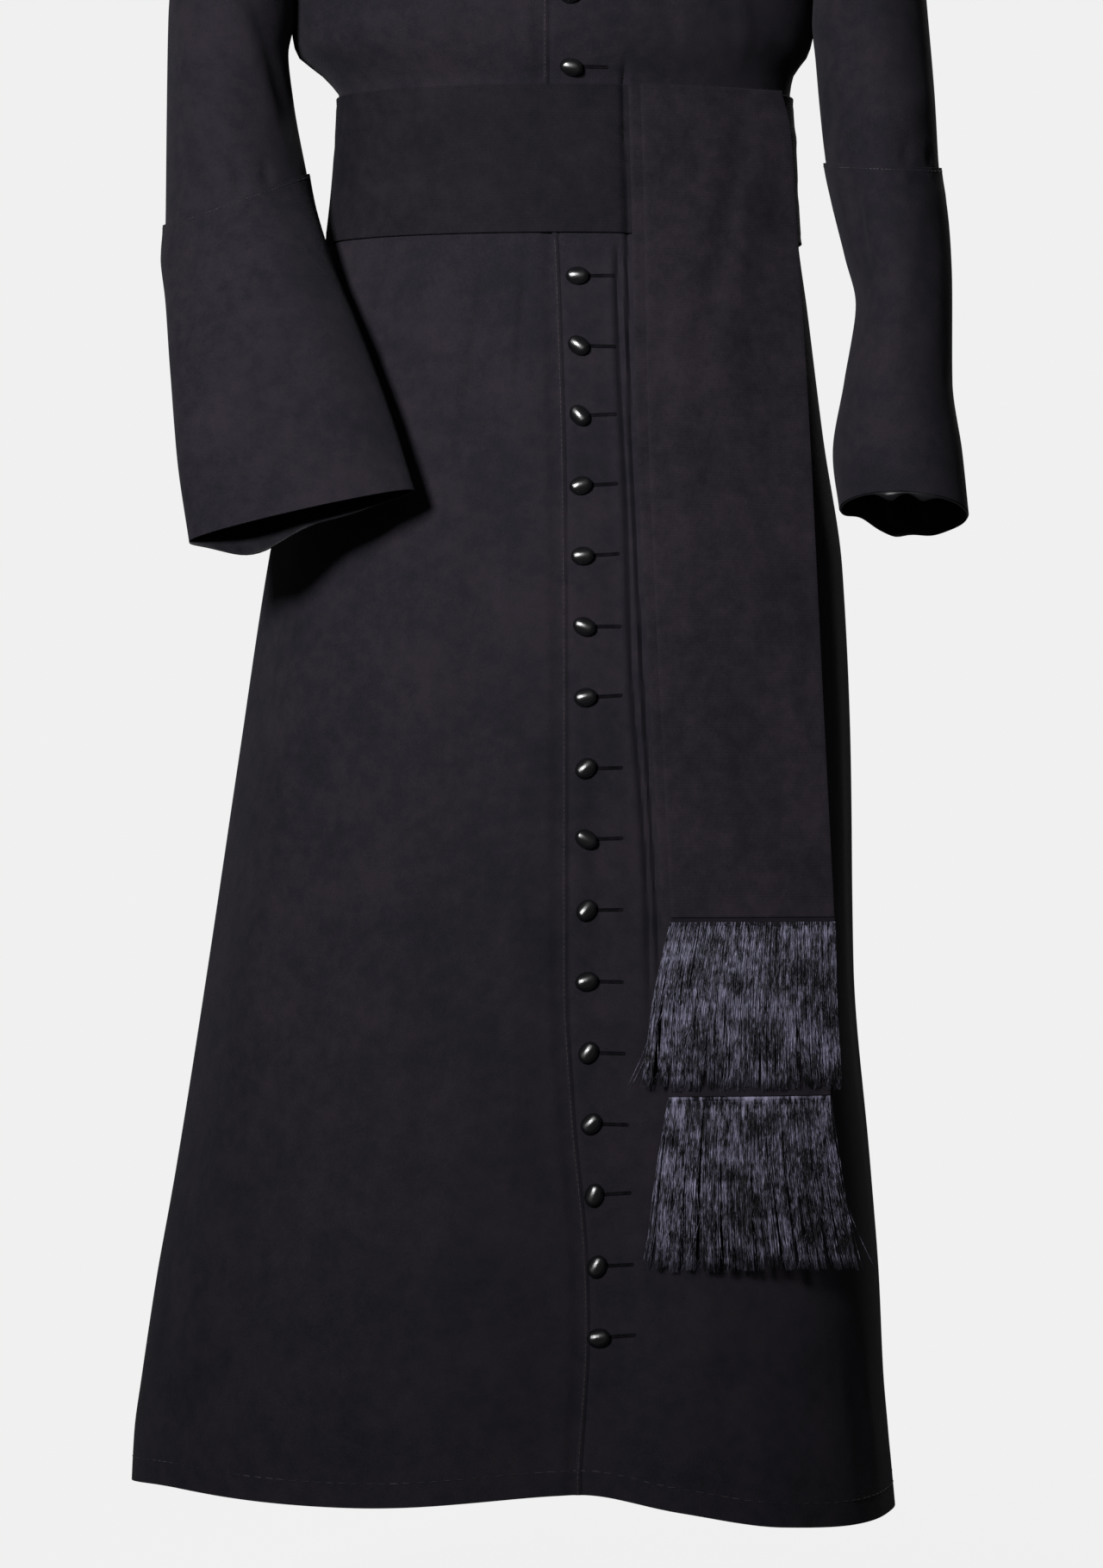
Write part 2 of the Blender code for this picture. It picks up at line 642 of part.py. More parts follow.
def add_end(name, table, out, look):
    """A hanging end of the band, down to its fringe. Both ends bend at the same columns."""
    rows = curves(table, "height")
    top, foot = table[0].height, table[-1].height
    heights = [top] + [h for h in END_HEIGHTS if foot + 0.02 < h < top - 0.001] + [foot]
    heights = np.array(heights)[:, None]
    guide = end_x(END_AT["upper"], heights, np.linspace(0, 1, END_COLUMNS))
    edges = end_x(rows, heights, np.array([0.0, 1.0]))
    between = (guide > edges[:, :1] + COLUMN_ROOM) & (guide < edges[:, 1:] - COLUMN_ROOM)
    x = np.concatenate([edges[:, :1], guide[:, between.all(axis=0)], edges[:, 1:]], axis=1)
    outer, inner = (hang_point(x, heights, out + depth) for depth in (END_CLOTH, 0.0))
    wall(name, outer, inner, look)


def fringe_point(rows, size, across, height, out):
    """A point of a fringe, which spreads a little as it falls."""
    fall = np.clip((size.top_height - height) / size.length, 0, None) ** 1.5
    x = end_x(rows, np.maximum(height, size.top_height + SEAM_GAP), across)
    x = x - size.spread_in * fall * (1 - across) + size.spread_out * fall * across
    return hang_point(x, height, out)


def lock_rings(rows, size, out, across, chance):
    """The rings of one lock of the fringe, each four points, from its root to its tip."""
    start, length = size.top_height - HEADER_HEIGHT, size.length - HEADER_HEIGHT
    length = length * chance.uniform(0.93, 1.0)
    sway, lean = chance.uniform(-0.12, 0.12), chance.uniform(0.0, 0.0022)
    middle, half = (across[0] + across[1]) / 2, (across[1] - across[0]) / 2
    for step in range(1, LOCK_STEPS + 1):
        fall = step / LOCK_STEPS
        centre = middle + sway / LOCKS_ACROSS * fall
        width = half * (1.12 - 0.72 * fall**3)
        front = FRINGE_CLOTH * (1 - 0.5 * fall**2) + lean * fall
        ends = [(centre - width, front), (centre + width, front)]
        ends += [(centre + width, lean * fall), (centre - width, lean * fall)]
        height = np.array(start - length * fall)
        yield [fringe_point(rows, size, u, height, out + depth) for u, depth in ends]


def add_fringe(name, table, size, out, look):
    """A fringe: a narrow heading with separate locks hanging from its lower edge."""
    rows = curves(table, "height")
    chance = np.random.default_rng(FRINGE_SEED)
    shape = bmesh.new()
    half = LOCK_SHARE / 2
    marks = [(k + 0.5 + shift) / LOCKS_ACROSS for k in range(LOCKS_ACROSS) for shift in (-half, half)]
    marks = [0.0] + marks[1:-1] + [1.0]
    heads = []
    for height in (size.top_height, size.top_height - HEADER_HEIGHT):
        for depth in (FRINGE_CLOTH, 0.0):
            points = (fringe_point(rows, size, u, np.array(height), out + depth) for u in marks)
            heads.append([shape.verts.new(point) for point in points])
    top_front, top_back, foot_front, foot_back = heads
    for j in range(len(marks) - 1):
        shape.faces.new((top_front[j], top_front[j + 1], foot_front[j + 1], foot_front[j]))
        shape.faces.new((top_back[j], top_back[j + 1], foot_back[j + 1], foot_back[j]))
        shape.faces.new((top_front[j], top_front[j + 1], top_back[j + 1], top_back[j]))
        ring = [foot_front[j], foot_front[j + 1], foot_back[j + 1], foot_back[j]]
        if j % 2 == 0:
            for points in lock_rings(rows, size, out, marks[j : j + 2], chance):
                below = [shape.verts.new(point) for point in points]
                for k in range(4):
                    shape.faces.new((ring[k], ring[(k + 1) % 4], below[(k + 1) % 4], below[k]))
                ring = below
        shape.faces.new(ring)
    for j in (0, -1):
        shape.faces.new((top_front[j], foot_front[j], foot_back[j], top_back[j]))
    finish(shape, name, look)


def panel_tree(grid):
    rows, columns = grid.shape[:2]
    quads = []
    for i in range(rows - 1):
        for j in range(columns - 1):
            first = i * columns + j
            quads.append((first, first + 1, first + columns + 1, first + columns))
    return bvhtree.BVHTree.FromPolygons(grid.reshape(-1, 3).tolist(), quads)


def add_button(name, seat, normal, look):
    """A domed button, its flat back just clear of the cloth."""
    turn = Vector(normal).to_track_quat("Z", "Y")
    shape = bmesh.new()
    profile = [(0.93, 0.0), (1.0, 0.16), (0.78, 0.66)]
    rings = []
    for radius, rise in profile:
        ring = []
        for k in range(BUTTON_SIDES):
            angle = 2 * math.pi * k / BUTTON_SIDES
            flat = BUTTON_RADIUS * radius
            local = (flat * math.cos(angle), flat * math.sin(angle), BUTTON_RISE * rise)
            ring.append(shape.verts.new(seat + turn @ Vector(local)))
        rings.append(ring)
    crown = shape.verts.new(seat + turn @ Vector((0, 0, BUTTON_RISE)))
    shape.faces.new(rings[0])
    for low, high in zip(rings, rings[1:]):
        for k in range(BUTTON_SIDES):
            n = (k + 1) % BUTTON_SIDES
            shape.faces.new((low[k], low[n], high[n], high[k]))
    for k in range(BUTTON_SIDES):
        shape.faces.new((rings[-1][k], rings[-1][(k + 1) % BUTTON_SIDES], crown))
    finish(shape, name, look)


def add_buttons(front, look):
    """The buttons up the outer front, counted from the hem. The band hides two places."""
    tree = panel_tree(front)
    number = 0
    for place in range(BUTTON_PLACES):
        height = LOWEST_BUTTON + BUTTON_STEP * place
        if BAND_BOTTOM - BUTTON_RADIUS < height < BAND_TOP + BUTTON_RADIUS / 2:
            continue
        x = float(CLOSING_AT["button_x"](np.array(height)))
        spot, normal, _, _ = tree.ray_cast(Vector((x, -1, height)), Vector((0, 1, 0)))
        normal = normal if normal.y < 0 else -normal
        number += 1
        add_button(f"button_{number:02d}", spot + normal * BUTTON_CLEAR, normal, look)


def clear_scene():
    for old in list(bpy.data.objects):
        bpy.data.objects.remove(old, do_unlink=True)


def build():
    clear_scene()
    wool = material("cassock_cloth", BLACK_WOOL)
    faille = material("band_cloth", BLACK_FAILLE)
    fronts, backs = ({side: grid(side) for side in (1, -1)} for grid in (front_grid, back_grid))
    arms, grids = {}, {}
    for side in (1, -1):
        count = len(LEFT_ARM if side > 0 else RIGHT_ARM)
        places = sorted([float(k) for k in range(count)] + [SLEEVE_END])
        arms[side] = (arm_grid(side, places), places)
        grids["body", ("front", side)] = (fronts[side], False, 1)
        grids["body", ("back", side)] = (backs[side], False, 1)
        grids["arm", side] = (arms[side][0], True, -side)
    collar = collar_grid(fronts, backs)
    grids["collar", 0] = (collar, False, 1)
    normals = sewn_normals(grids)
    add_fronts(fronts, normals, wool)
    add_backs(backs, normals, wool)
    for side, word in ((1, "left"), (-1, "right")):
        grid, places = arms[side]
        add_arm(side, word, grid, normals["arm", side], places, wool)
    add_collar(collar, normals["collar", 0], wool)
    add_band(faille)
    over = END_CLOTH + ENDS_APART
    add_end("band_end_over", UPPER_END, over, faille)
    add_end("band_end_under", UNDER_END, 0.0, faille)
    silk = material("fringe_thread", BLACK_SILK)
    add_fringe("fringe_over", UPPER_END, UPPER_FRINGE, over, silk)
    add_fringe("fringe_under", UNDER_END, UNDER_FRINGE, 0.0, silk)
    add_buttons(fronts[1], material("button_satin", BLACK_SATIN))


build()
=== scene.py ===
"""Looks for a black cassock with a band cincture, worn by nobody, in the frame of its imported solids."""

import math

import bmesh
import bpy
import numpy as np
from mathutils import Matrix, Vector, bvhtree


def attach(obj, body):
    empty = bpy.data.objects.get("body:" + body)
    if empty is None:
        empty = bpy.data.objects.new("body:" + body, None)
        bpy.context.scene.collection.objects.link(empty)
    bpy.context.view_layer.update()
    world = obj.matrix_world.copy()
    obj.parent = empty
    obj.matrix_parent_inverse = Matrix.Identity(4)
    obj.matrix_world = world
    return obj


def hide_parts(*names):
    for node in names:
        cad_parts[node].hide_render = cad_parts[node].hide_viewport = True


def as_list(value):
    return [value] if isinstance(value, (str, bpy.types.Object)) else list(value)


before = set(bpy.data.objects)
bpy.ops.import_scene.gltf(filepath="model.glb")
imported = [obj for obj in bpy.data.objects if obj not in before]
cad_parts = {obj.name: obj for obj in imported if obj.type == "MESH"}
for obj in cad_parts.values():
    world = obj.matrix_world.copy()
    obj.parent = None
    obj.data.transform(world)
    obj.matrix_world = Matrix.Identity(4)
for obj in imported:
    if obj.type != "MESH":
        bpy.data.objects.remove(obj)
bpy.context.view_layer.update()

bpy.ops.object.select_all(action="DESELECT")


# --- Studio -------------------------------------------------------------------------------------
# A level camera straight in front, a large key light from the front left, a weak fill, and a pale
# floor and surround of one even tone.

PALE = 0.871
bpy.ops.object.camera_add(location=(-0.0099, -5.0, -0.877), rotation=(math.pi / 2, 0, 0))
camera = bpy.context.object
camera.data.sensor_width = 36
camera.data.lens = 149.85
camera.data.clip_end = 60
bpy.context.scene.camera = camera
bpy.context.scene.view_settings.view_transform = "Standard"


def aim_light(name, place, target, size, watts, spread=180):
    bpy.ops.object.light_add(type="AREA", location=place)
    light = bpy.context.object
    light.name = name
    light.data.shape = "DISK"
    light.data.size = size
    light.data.energy = watts
    light.data.spread = math.radians(spread)
    aim = Vector(target) - Vector(place)
    light.rotation_euler = aim.to_track_quat("-Z", "Y").to_euler()
    return light


aim_light("key_light", (-1.42, -3.2, 0.46), (-0.07, 0.0, -0.48), 0.70, 8.1, 48)
aim_light("back_light", (1.6, 4.2, 1.2), (0.0, 0.0, -0.6), 1.2, 26)

surround = bpy.data.worlds.new("pale_surround")
bpy.context.scene.world = surround
surround.use_nodes = True
tree = surround.node_tree
seen = tree.nodes["Background"]
seen.inputs["Color"].default_value = (PALE, PALE, PALE, 1)
dim = tree.nodes.new("ShaderNodeBackground")
dim.inputs["Color"].default_value = (1, 1, 1, 1)
dim.inputs["Strength"].default_value = 0.045
ray = tree.nodes.new("ShaderNodeLightPath")
mix = tree.nodes.new("ShaderNodeMixShader")
tree.links.new(ray.outputs["Is Camera Ray"], mix.inputs["Fac"])
tree.links.new(dim.outputs["Background"], mix.inputs[1])
tree.links.new(seen.outputs["Background"], mix.inputs[2])
tree.links.new(mix.outputs["Shader"], tree.nodes["World Output"].inputs["Surface"])

bpy.ops.mesh.primitive_circle_add(vertices=96, radius=3.0, fill_type="NGON", location=(0, 0, -1.53))
floor = bpy.context.object
floor.name = "studio_floor"
pale = bpy.data.materials.new("pale_floor")
pale.use_nodes = True
tree = pale.node_tree
lit = tree.nodes["Principled BSDF"]
lit.inputs["Base Color"].default_value = (0.06, 0.06, 0.06, 1)
lit.inputs["Roughness"].default_value = 1.0
lit.inputs["Specular IOR Level"].default_value = 0.0
lit.inputs["Emission Color"].default_value = (PALE - 0.012,) * 3 + (1,)
lit.inputs["Emission Strength"].default_value = 1.0
clear = tree.nodes.new("ShaderNodeEmission")
clear.inputs["Color"].default_value = (PALE, PALE, PALE, 1)
place = tree.nodes.new("ShaderNodeTexCoord")
reach = tree.nodes.new("ShaderNodeVectorMath")
reach.operation = "LENGTH"
tree.links.new(place.outputs["Object"], reach.inputs[0])
fade = tree.nodes.new("ShaderNodeMapRange")
fade.inputs["From Min"].default_value = 0.4
fade.inputs["From Max"].default_value = 1.5
tree.links.new(reach.outputs["Value"], fade.inputs["Value"])
both = tree.nodes.new("ShaderNodeMixShader")
tree.links.new(fade.outputs["Result"], both.inputs["Fac"])
tree.links.new(lit.outputs["BSDF"], both.inputs[1])
tree.links.new(clear.outputs["Emission"], both.inputs[2])
tree.links.new(both.outputs["Shader"], tree.nodes["Material Output"].inputs["Surface"])
floor.data.materials.append(pale)
floor.visible_diffuse = False
floor.visible_glossy = False


# --- Fronts and backs ---------------------------------------------------------------------------
# Four panels of smooth black wool, lined in black satin, sewn at the shoulders, the sides and the
# centre back. The left front laps over the right one. Below the tight waist they flare in soft
# folds to a wide hem, which is turned up and stitched.

CLOTH = 0.0016
LAP_STEP = 0.0020
CHEST, HEM = -0.250, -1.410
QUARTER = math.pi / 2

# height, reach to the wearer's left and right, depth of the front and back
SECTIONS = np.array([
    (-1.430, 0.2535, 0.3325, 0.218, 0.262), (-1.372, 0.2482, 0.3295, 0.214, 0.256),
    (-1.332, 0.2449, 0.3241, 0.210, 0.252), (-1.253, 0.2416, 0.3122, 0.204, 0.243),
    (-1.174, 0.2356, 0.2983, 0.197, 0.234), (-1.016, 0.2220, 0.2732, 0.183, 0.214),
    (-0.857, 0.2200, 0.2495, 0.169, 0.194), (-0.712, 0.2132, 0.2277, 0.155, 0.174),
    (-0.613, 0.1985, 0.2090, 0.141, 0.155), (-0.514, 0.1861, 0.1905, 0.129, 0.134),
    (-0.455, 0.1785, 0.1800, 0.120, 0.120), (-0.395, 0.1754, 0.1742, 0.114, 0.109),
    (-0.352, 0.1728, 0.1722, 0.112, 0.106), (-0.336, 0.1752, 0.1840, 0.119, 0.112),
    (-0.316, 0.1880, 0.2062, 0.126, 0.118), (-0.295, 0.1918, 0.2092, 0.130, 0.122),
    (CHEST, 0.1935, 0.2085, 0.132, 0.124),
])
# angle at the hem, half width in degrees, depth, height where the fold dies out
FOLDS = [(-42, 30, 0.012, -0.62), (3, 24, -0.024, -0.70), (50, 30, 0.012, -0.62)]
FOLDS += [(112, 20, 0.016, -0.52), (133, 16, -0.014, -0.55), (155, 17, 0.024, -0.48)]
FOLDS += [(180, 18, -0.030, -0.47), (-155, 17, 0.024, -0.48), (-133, 16, -0.014, -0.55)]
FOLDS += [(-112, 20, 0.016, -0.52)]
# angle and height of the hem
HEM_LINE = np.array([
    (-180, -1.420), (-90, -1.4095), (-62, -1.405), (-27, -1.4105), (3, -1.4015), (20, -1.414),
    (38, -1.427), (55, -1.430), (90, -1.428), (180, -1.420),
])
# height, edge of the outer front, line of the buttons
CLOSING = np.array([
    (-1.395, 0.0078, 0.0250), (-1.285, 0.0140, 0.0249), (-1.233, 0.0125, 0.0235),
    (-1.124, 0.0028, 0.0194), (-1.025, -0.0023, 0.0160), (-0.816, -0.0022, 0.0153),
    (-0.657, -0.0035, 0.0120), (-0.495, -0.0080, 0.0094), (-0.336, -0.0164, 0.0050),
    (CHEST, -0.0164, 0.0040),
])
# soft creases: angle and height of one end, angle and height of the other, half width, depth
CREASES = [
    (-20, -0.500, -24, -1.100, 0.030, -0.0016), (-33, -0.560, -40, -1.330, 0.036, 0.0024),
    (-48, -0.620, -58, -1.280, 0.032, -0.0026), (-63, -0.700, -71, -1.390, 0.038, 0.0030),
    (-11, -0.800, -12, -1.390, 0.026, 0.0014), (-28, -0.900, -31, -1.410, 0.024, -0.0016),
    (-77, -0.560, -84, -1.250, 0.034, -0.0024), (8, -0.860, 9, -1.060, 0.020, -0.0018),
    (10, -1.180, 14, -1.390, 0.026, -0.0018), (38, -1.300, 41, -1.430, 0.030, 0.0020),
    (62, -1.280, 66, -1.430, 0.028, -0.0022), (82, -0.600, 86, -1.390, 0.034, -0.0024),
    (98, -0.520, 103, -1.180, 0.030, 0.0026), (122, -0.560, 124, -1.320, 0.028, 0.0024),
    (144, -0.500, 143, -1.050, 0.026, -0.0030), (166, -0.480, 168, -1.350, 0.028, 0.0026),
    (-98, -0.540, -104, -1.260, 0.032, 0.0024), (-123, -0.520, -120, -1.180, 0.028, -0.0022),
    (-144, -0.500, -146, -1.300, 0.026, 0.0028), (-168, -0.500, -165, -1.120, 0.028, -0.0026),
    (-60, -0.318, -25, -0.270, 0.014, 0.0016), (-80, -0.326, -52, -0.290, 0.012, 0.0018),
    (66, -0.322, 36, -0.276, 0.014, 0.0016), (82, -0.326, 60, -0.292, 0.012, 0.0016),
    (-30, -0.322, -12, -0.300, 0.010, -0.0012), (110, -0.322, 135, -0.280, 0.014, 0.0018),
    (-112, -0.320, -140, -0.276, 0.014, 0.0016), (165, -0.316, 172, -0.268, 0.013, -0.0014),
    (-66, -0.350, -56, -0.236, 0.016, -0.0036), (-42, -0.342, -30, -0.240, 0.022, 0.0022),
    (38, -0.342, 28, -0.246, 0.020, -0.0014), (60, -0.340, 50, -0.248, 0.016, 0.0016), (-26, -0.470, -31, -0.640, 0.014, -0.0024),
    (-38, -0.468, -45, -0.700, 0.018, 0.0026), (-13, -0.470, -15, -0.600, 0.012, -0.0018),
    (-52, -0.470, -60, -0.620, 0.014, -0.0028), (-66, -0.470, -72, -0.660, 0.014, 0.0026),
]


def smooth_through(places, values):
    """A curve through the values that never swings past them."""
    step = np.diff(places)
    slope = np.diff(values) / step
    same_way = slope[:-1] * slope[1:] > 0
    lean = np.where(same_way, 2 * slope[:-1] * slope[1:] / np.where(same_way, slope[:-1] + slope[1:], 1), 0)
    lean = np.concatenate([slope[:1], lean, slope[-1:]])

    def value(place):
        i = np.clip(np.searchsorted(places, place) - 1, 0, len(step) - 1)
        t = np.clip((place - places[i]) / step[i], 0, 1)
        level = values[i] + (values[i + 1] - values[i]) * t * t * (3 - 2 * t)
        return level + (lean[i] * t * (1 - t) ** 2 - lean[i + 1] * t * t * (1 - t)) * step[i]

    return value


LEFT, RIGHT, FRONT, BACK = (smooth_through(SECTIONS[:, 0], SECTIONS[:, k]) for k in (1, 2, 3, 4))
hem_height = smooth_through(HEM_LINE[:, 0], HEM_LINE[:, 1])
edge_line, button_line = (smooth_through(CLOSING[:, 0], CLOSING[:, k]) for k in (1, 2))


def ease(share):
    share = np.clip(share, 0, 1)
    return share * share * (3 - 2 * share)


def turned(angle):
    return (angle + math.pi) % (2 * math.pi) - math.pi


def stack(x, y, z):
    return np.stack(np.broadcast_arrays(x, y, z), axis=-1)


def soft_lines(table, across, along, metre):
    """How far out the creases of a table move the cloth: each fades along and across its line."""
    total = np.zeros(np.broadcast(across, along).shape)
    for a, b, c, d, half, depth in table:
        run = np.array([turned(c - a) * metre if metre else c - a, d - b])
        x = turned(across - a) * metre if metre else across - a
        length = np.hypot(*run)
        t = (x * run[0] + (along - b) * run[1]) / length**2
        away = np.abs(x * run[1] - (along - b) * run[0]) / length / half
        fade = np.sin(math.pi * np.clip(t, 0, 1)) ** 0.8
        total = total + depth * fade * (1 + np.cos(math.pi * np.clip(away, 0, 1))) / 2
    return total


BODY_CREASES = [(math.radians(a), b, math.radians(c), d, e, f) for a, b, c, d, e, f in CREASES]


def fold_depth(angle, height):
    total = 0
    for at, half, depth, top in FOLDS:
        away = np.abs(turned(angle - math.radians(at))) / math.radians(half)
        total = total + depth * (1 + np.cos(math.pi * np.clip(away, 0, 1))) / 2 * ease((top - height) / (top - HEM))
    return total


def half_width(across, height):
    return np.where(across > 0, LEFT(height), RIGHT(height))


def section_point(angle, height, out=0.0):
    """A point of a level section; angle 0 is the centre front, a quarter turn the wearer's left."""
    across, ahead = np.sin(angle), np.cos(angle)
    out = out + fold_depth(angle, height)
    y = 0.005 - (np.where(ahead > 0, FRONT(height), BACK(height)) + out) * ahead
    return stack((half_width(across, height) + out) * across, y, height)


def front_angle(x, height, out=0.0):
    angle = np.arcsin(np.clip(x / (half_width(x, height) + out), -1, 1))
    for _ in range(4):
        angle = np.arcsin(np.clip(x / (half_width(x, height) + out + fold_depth(angle, height)), -1, 1))
    return angle


def neck_point(turn):
    ahead, across = np.cos(turn), np.sin(turn)
    fore, rear = (1 + ahead) / 2, (1 - ahead) / 2
    return stack(0.073 * across, -0.072 * fore + 0.062 * rear, -0.062 * fore + 0.014 * rear + 0.024 * across**2)


# outer x and z, inner x and z, middle y, half depth, tilt, scoop of each ring of an arm
LEFT_ARM = np.array([
    (0.203, -0.046, 0.1900, -0.250, 0.005, 0.070, 0, 0.024), (0.222, -0.052, 0.1955, -0.2515, 0.001, 0.074, 0, 0.016),
    (0.242, -0.072, 0.1960, -0.257, -0.004, 0.076, 0, 0.008), (0.2565, -0.108, 0.1905, -0.266, -0.009, 0.076, 0, 0.002),
    (0.265, -0.160, 0.1894, -0.279, -0.014, 0.074, 2, 0.0), (0.271, -0.222, 0.1888, -0.297, -0.019, 0.071, 4, 0.0),
    (0.2765, -0.288, 0.1912, -0.322, -0.023, 0.069, 6, 0.0), (0.2820, -0.355, 0.1943, -0.360, -0.027, 0.067, 1, 0.0),
    (0.2850, -0.408, 0.1990, -0.404, -0.030, 0.066, -6, 0.0), (0.2885, -0.437, 0.2050, -0.434, -0.034, 0.066, -2, 0.0),
    (0.2900, -0.478, 0.2150, -0.475, -0.041, 0.065, 5, 0.0), (0.2905, -0.515, 0.2230, -0.512, -0.049, 0.064, 11, 0.0),
    (0.2912, -0.575, 0.2135, -0.573, -0.061, 0.064, 11, 0.0), (0.2980, -0.628, 0.2045, -0.627, -0.072, 0.062, 13, 0.0),
    (0.3025, -0.675, 0.2090, -0.669, -0.079, 0.058, 13, 0.0),
])
RIGHT_ARM = np.array([
    (0.203, -0.046, 0.2000, -0.250, 0.005, 0.070, 0, 0.024), (0.226, -0.052, 0.2055, -0.2515, 0.001, 0.074, 0, 0.016),
    (0.251, -0.074, 0.2080, -0.257, -0.004, 0.076, 0, 0.008), (0.271, -0.112, 0.2035, -0.266, -0.009, 0.076, 0, 0.002),
    (0.285, -0.165, 0.2056, -0.279, -0.014, 0.074, 2, 0.0), (0.2955, -0.228, 0.2062, -0.296, -0.019, 0.071, 4, 0.0),
    (0.3020, -0.296, 0.2105, -0.320, -0.022, 0.069, 5, 0.0), (0.3030, -0.370, 0.2060, -0.360, -0.026, 0.067, 0, 0.0),
    (0.3035, -0.452, 0.1960, -0.413, -0.034, 0.066, -6, 0.0), (0.3045, -0.475, 0.1915, -0.436, -0.041, 0.064, -1, 0.0),
    (0.2985, -0.515, 0.1765, -0.485, -0.070, 0.058, 9, 0.0), (0.2930, -0.572, 0.1535, -0.542, -0.108, 0.049, 16, 0.0),
    (0.2865, -0.636, 0.1305, -0.604, -0.139, 0.038, 13, 0.0), (0.2765, -0.697, 0.1130, -0.660, -0.162, 0.026, 8, 0.0),
])
ARMS = {}
for side, rings in ((1, LEFT_ARM), (-1, RIGHT_ARM)):
    ARMS[side] = [smooth_through(np.arange(len(rings)), rings[:, k]) for k in range(8)]


def arm_point(side, place, turn, out=0.0):
    """A point of an arm; turn 0 is its outer line and a quarter turn its front line."""
    outer_x, outer_z, inner_x, inner_z, middle_y, deep, tilt, scoop = (curve(place) for curve in ARMS[side])
    across, ahead = np.cos(turn), np.sin(turn)
    tilt = np.radians(tilt)
    half_x, half_z = (outer_x - inner_x) / 2, (outer_z - inner_z) / 2
    long = np.hypot(half_x, half_z)
    x = (outer_x + inner_x) / 2 + half_x * (1 + out / long) * across - scoop * ahead * ahead
    z = (outer_z + inner_z) / 2 + half_z * (1 + out / long) * across + (deep + out) * np.sin(tilt) * ahead
    return stack(x * side, middle_y - (deep + out) * np.cos(tilt) * ahead, z)


def yoke_point(angle, side, face, rise):
    """A point of the body above the chest: rise 0 is the chest, 1 the neck and shoulder seams."""
    share = (np.abs(angle) if face > 0 else math.pi - np.abs(angle)) / QUARTER

    def top_line(share):
        turn = QUARTER * np.clip(share / 0.38, 0, 1)
        neck = neck_point(turn if face > 0 else math.pi - turn) * np.array([side, 1, 1])
        out = np.clip((share - 0.38) / 0.62, 0, 1)[..., None]
        return neck + (arm_point(side, np.zeros_like(share), 0.0 * share) - neck) * out

    up, out = ease(rise)[..., None], ease(share)[..., None]
    chest_centre = section_point(0.0 if face > 0 else math.pi, CHEST)
    chest_side = section_point(side * QUARTER, CHEST)
    neck_y, neck_z = (-0.072, -0.062) if face > 0 else (0.062, 0.014)
    centre_y = chest_centre[1] + (neck_y - chest_centre[1]) * rise ** (1.7 if face > 0 else 2.2)
    centre = stack(0.0, centre_y, CHEST + (neck_z - CHEST) * rise)
    ruled = section_point(angle, CHEST) * (1 - up) + top_line(share) * up
    at_centre = centre - chest_centre * (1 - up) - top_line(np.array(0.0)) * up
    armhole = arm_point(side, np.zeros_like(rise), face * math.pi * (1 - rise))
    at_arm = armhole - chest_side * (1 - up) - top_line(np.array(1.0)) * up
    return ruled + at_centre * (1 - out) + at_arm * out


def body_point(angle, level, side, face):
    """A point of the body: level is the depth below the chest, or the rise above it."""
    below = np.clip(level, None, 0)
    dip = (hem_height(np.degrees(turned(angle))) - HEM) * (below / (HEM - CHEST)) ** 2
    skirt = section_point(angle, CHEST + below + dip)
    rise = np.clip(level, 0, 1)
    on_left = angle > 0 if face > 0 or side > 0 else np.zeros(angle.shape, bool)
    if face < 0:
        on_left = np.full(angle.shape, side > 0)
    yoke = np.where(on_left[..., None], yoke_point(angle, 1, face, rise), yoke_point(angle, -1, face, rise))
    return np.where((level <= 0)[..., None], skirt, yoke)


def grid_normals(grid):
    """The unit normal at each point of a grid, by the cross of its two directions."""
    normal = np.cross(np.gradient(grid, axis=1), np.gradient(grid, axis=0))
    return normal / np.maximum(np.linalg.norm(normal, axis=-1, keepdims=True), 1e-12)


def seamed(count, lead=0.0045):
    """Shares across a panel, close together beside its two seams."""
    ends = np.array([0, 0.25, 0.55]) * lead
    return np.concatenate([ends, np.linspace(lead, 1 - lead, count), (1 - ends)[::-1]])


def lay_sheet(name, grid, outward):
    """A flat grid of cloth, each of its points moved onto the form, its UV map in metres of cloth."""
    rows, columns = grid.shape[:2]
    bpy.ops.mesh.primitive_grid_add(x_subdivisions=columns - 1, y_subdivisions=rows - 1, size=2)
    piece = bpy.context.object
    piece.name = piece.data.name = name
    mesh = piece.data
    mesh.vertices.foreach_set("co", grid.astype(np.float32).ravel())
    steps = np.linalg.norm(np.diff(grid, axis=1), axis=-1)
    across = np.concatenate([np.zeros((rows, 1)), np.cumsum(steps, axis=1)], axis=1)
    falls = np.linalg.norm(np.diff(grid, axis=0), axis=-1).mean(axis=1)
    along = np.concatenate([[0], np.cumsum(falls)])[:, None] + 0 * across
    corner = np.zeros(len(mesh.loops), np.int32)
    mesh.loops.foreach_get("vertex_index", corner)
    metres = np.stack([across.ravel()[corner], along.ravel()[corner]], axis=-1)
    mesh.uv_layers.active.uv.foreach_set("vector", metres.astype(np.float32).ravel())
    mesh.update()
    middle = (rows // 2) * columns + columns // 2
    if mesh.vertices[middle].normal.dot(Vector(outward)) < 0:
        mesh.flip_normals()
    piece.location = (0, 0, 0)
    return piece


def apply_modifier(piece, kind, **settings):
    bpy.context.view_layer.objects.active = piece
    modifier = piece.modifiers.new(kind.lower(), kind)
    for key, value in settings.items():
        setattr(modifier, key, value)
    bpy.ops.object.modifier_apply(modifier=modifier.name)


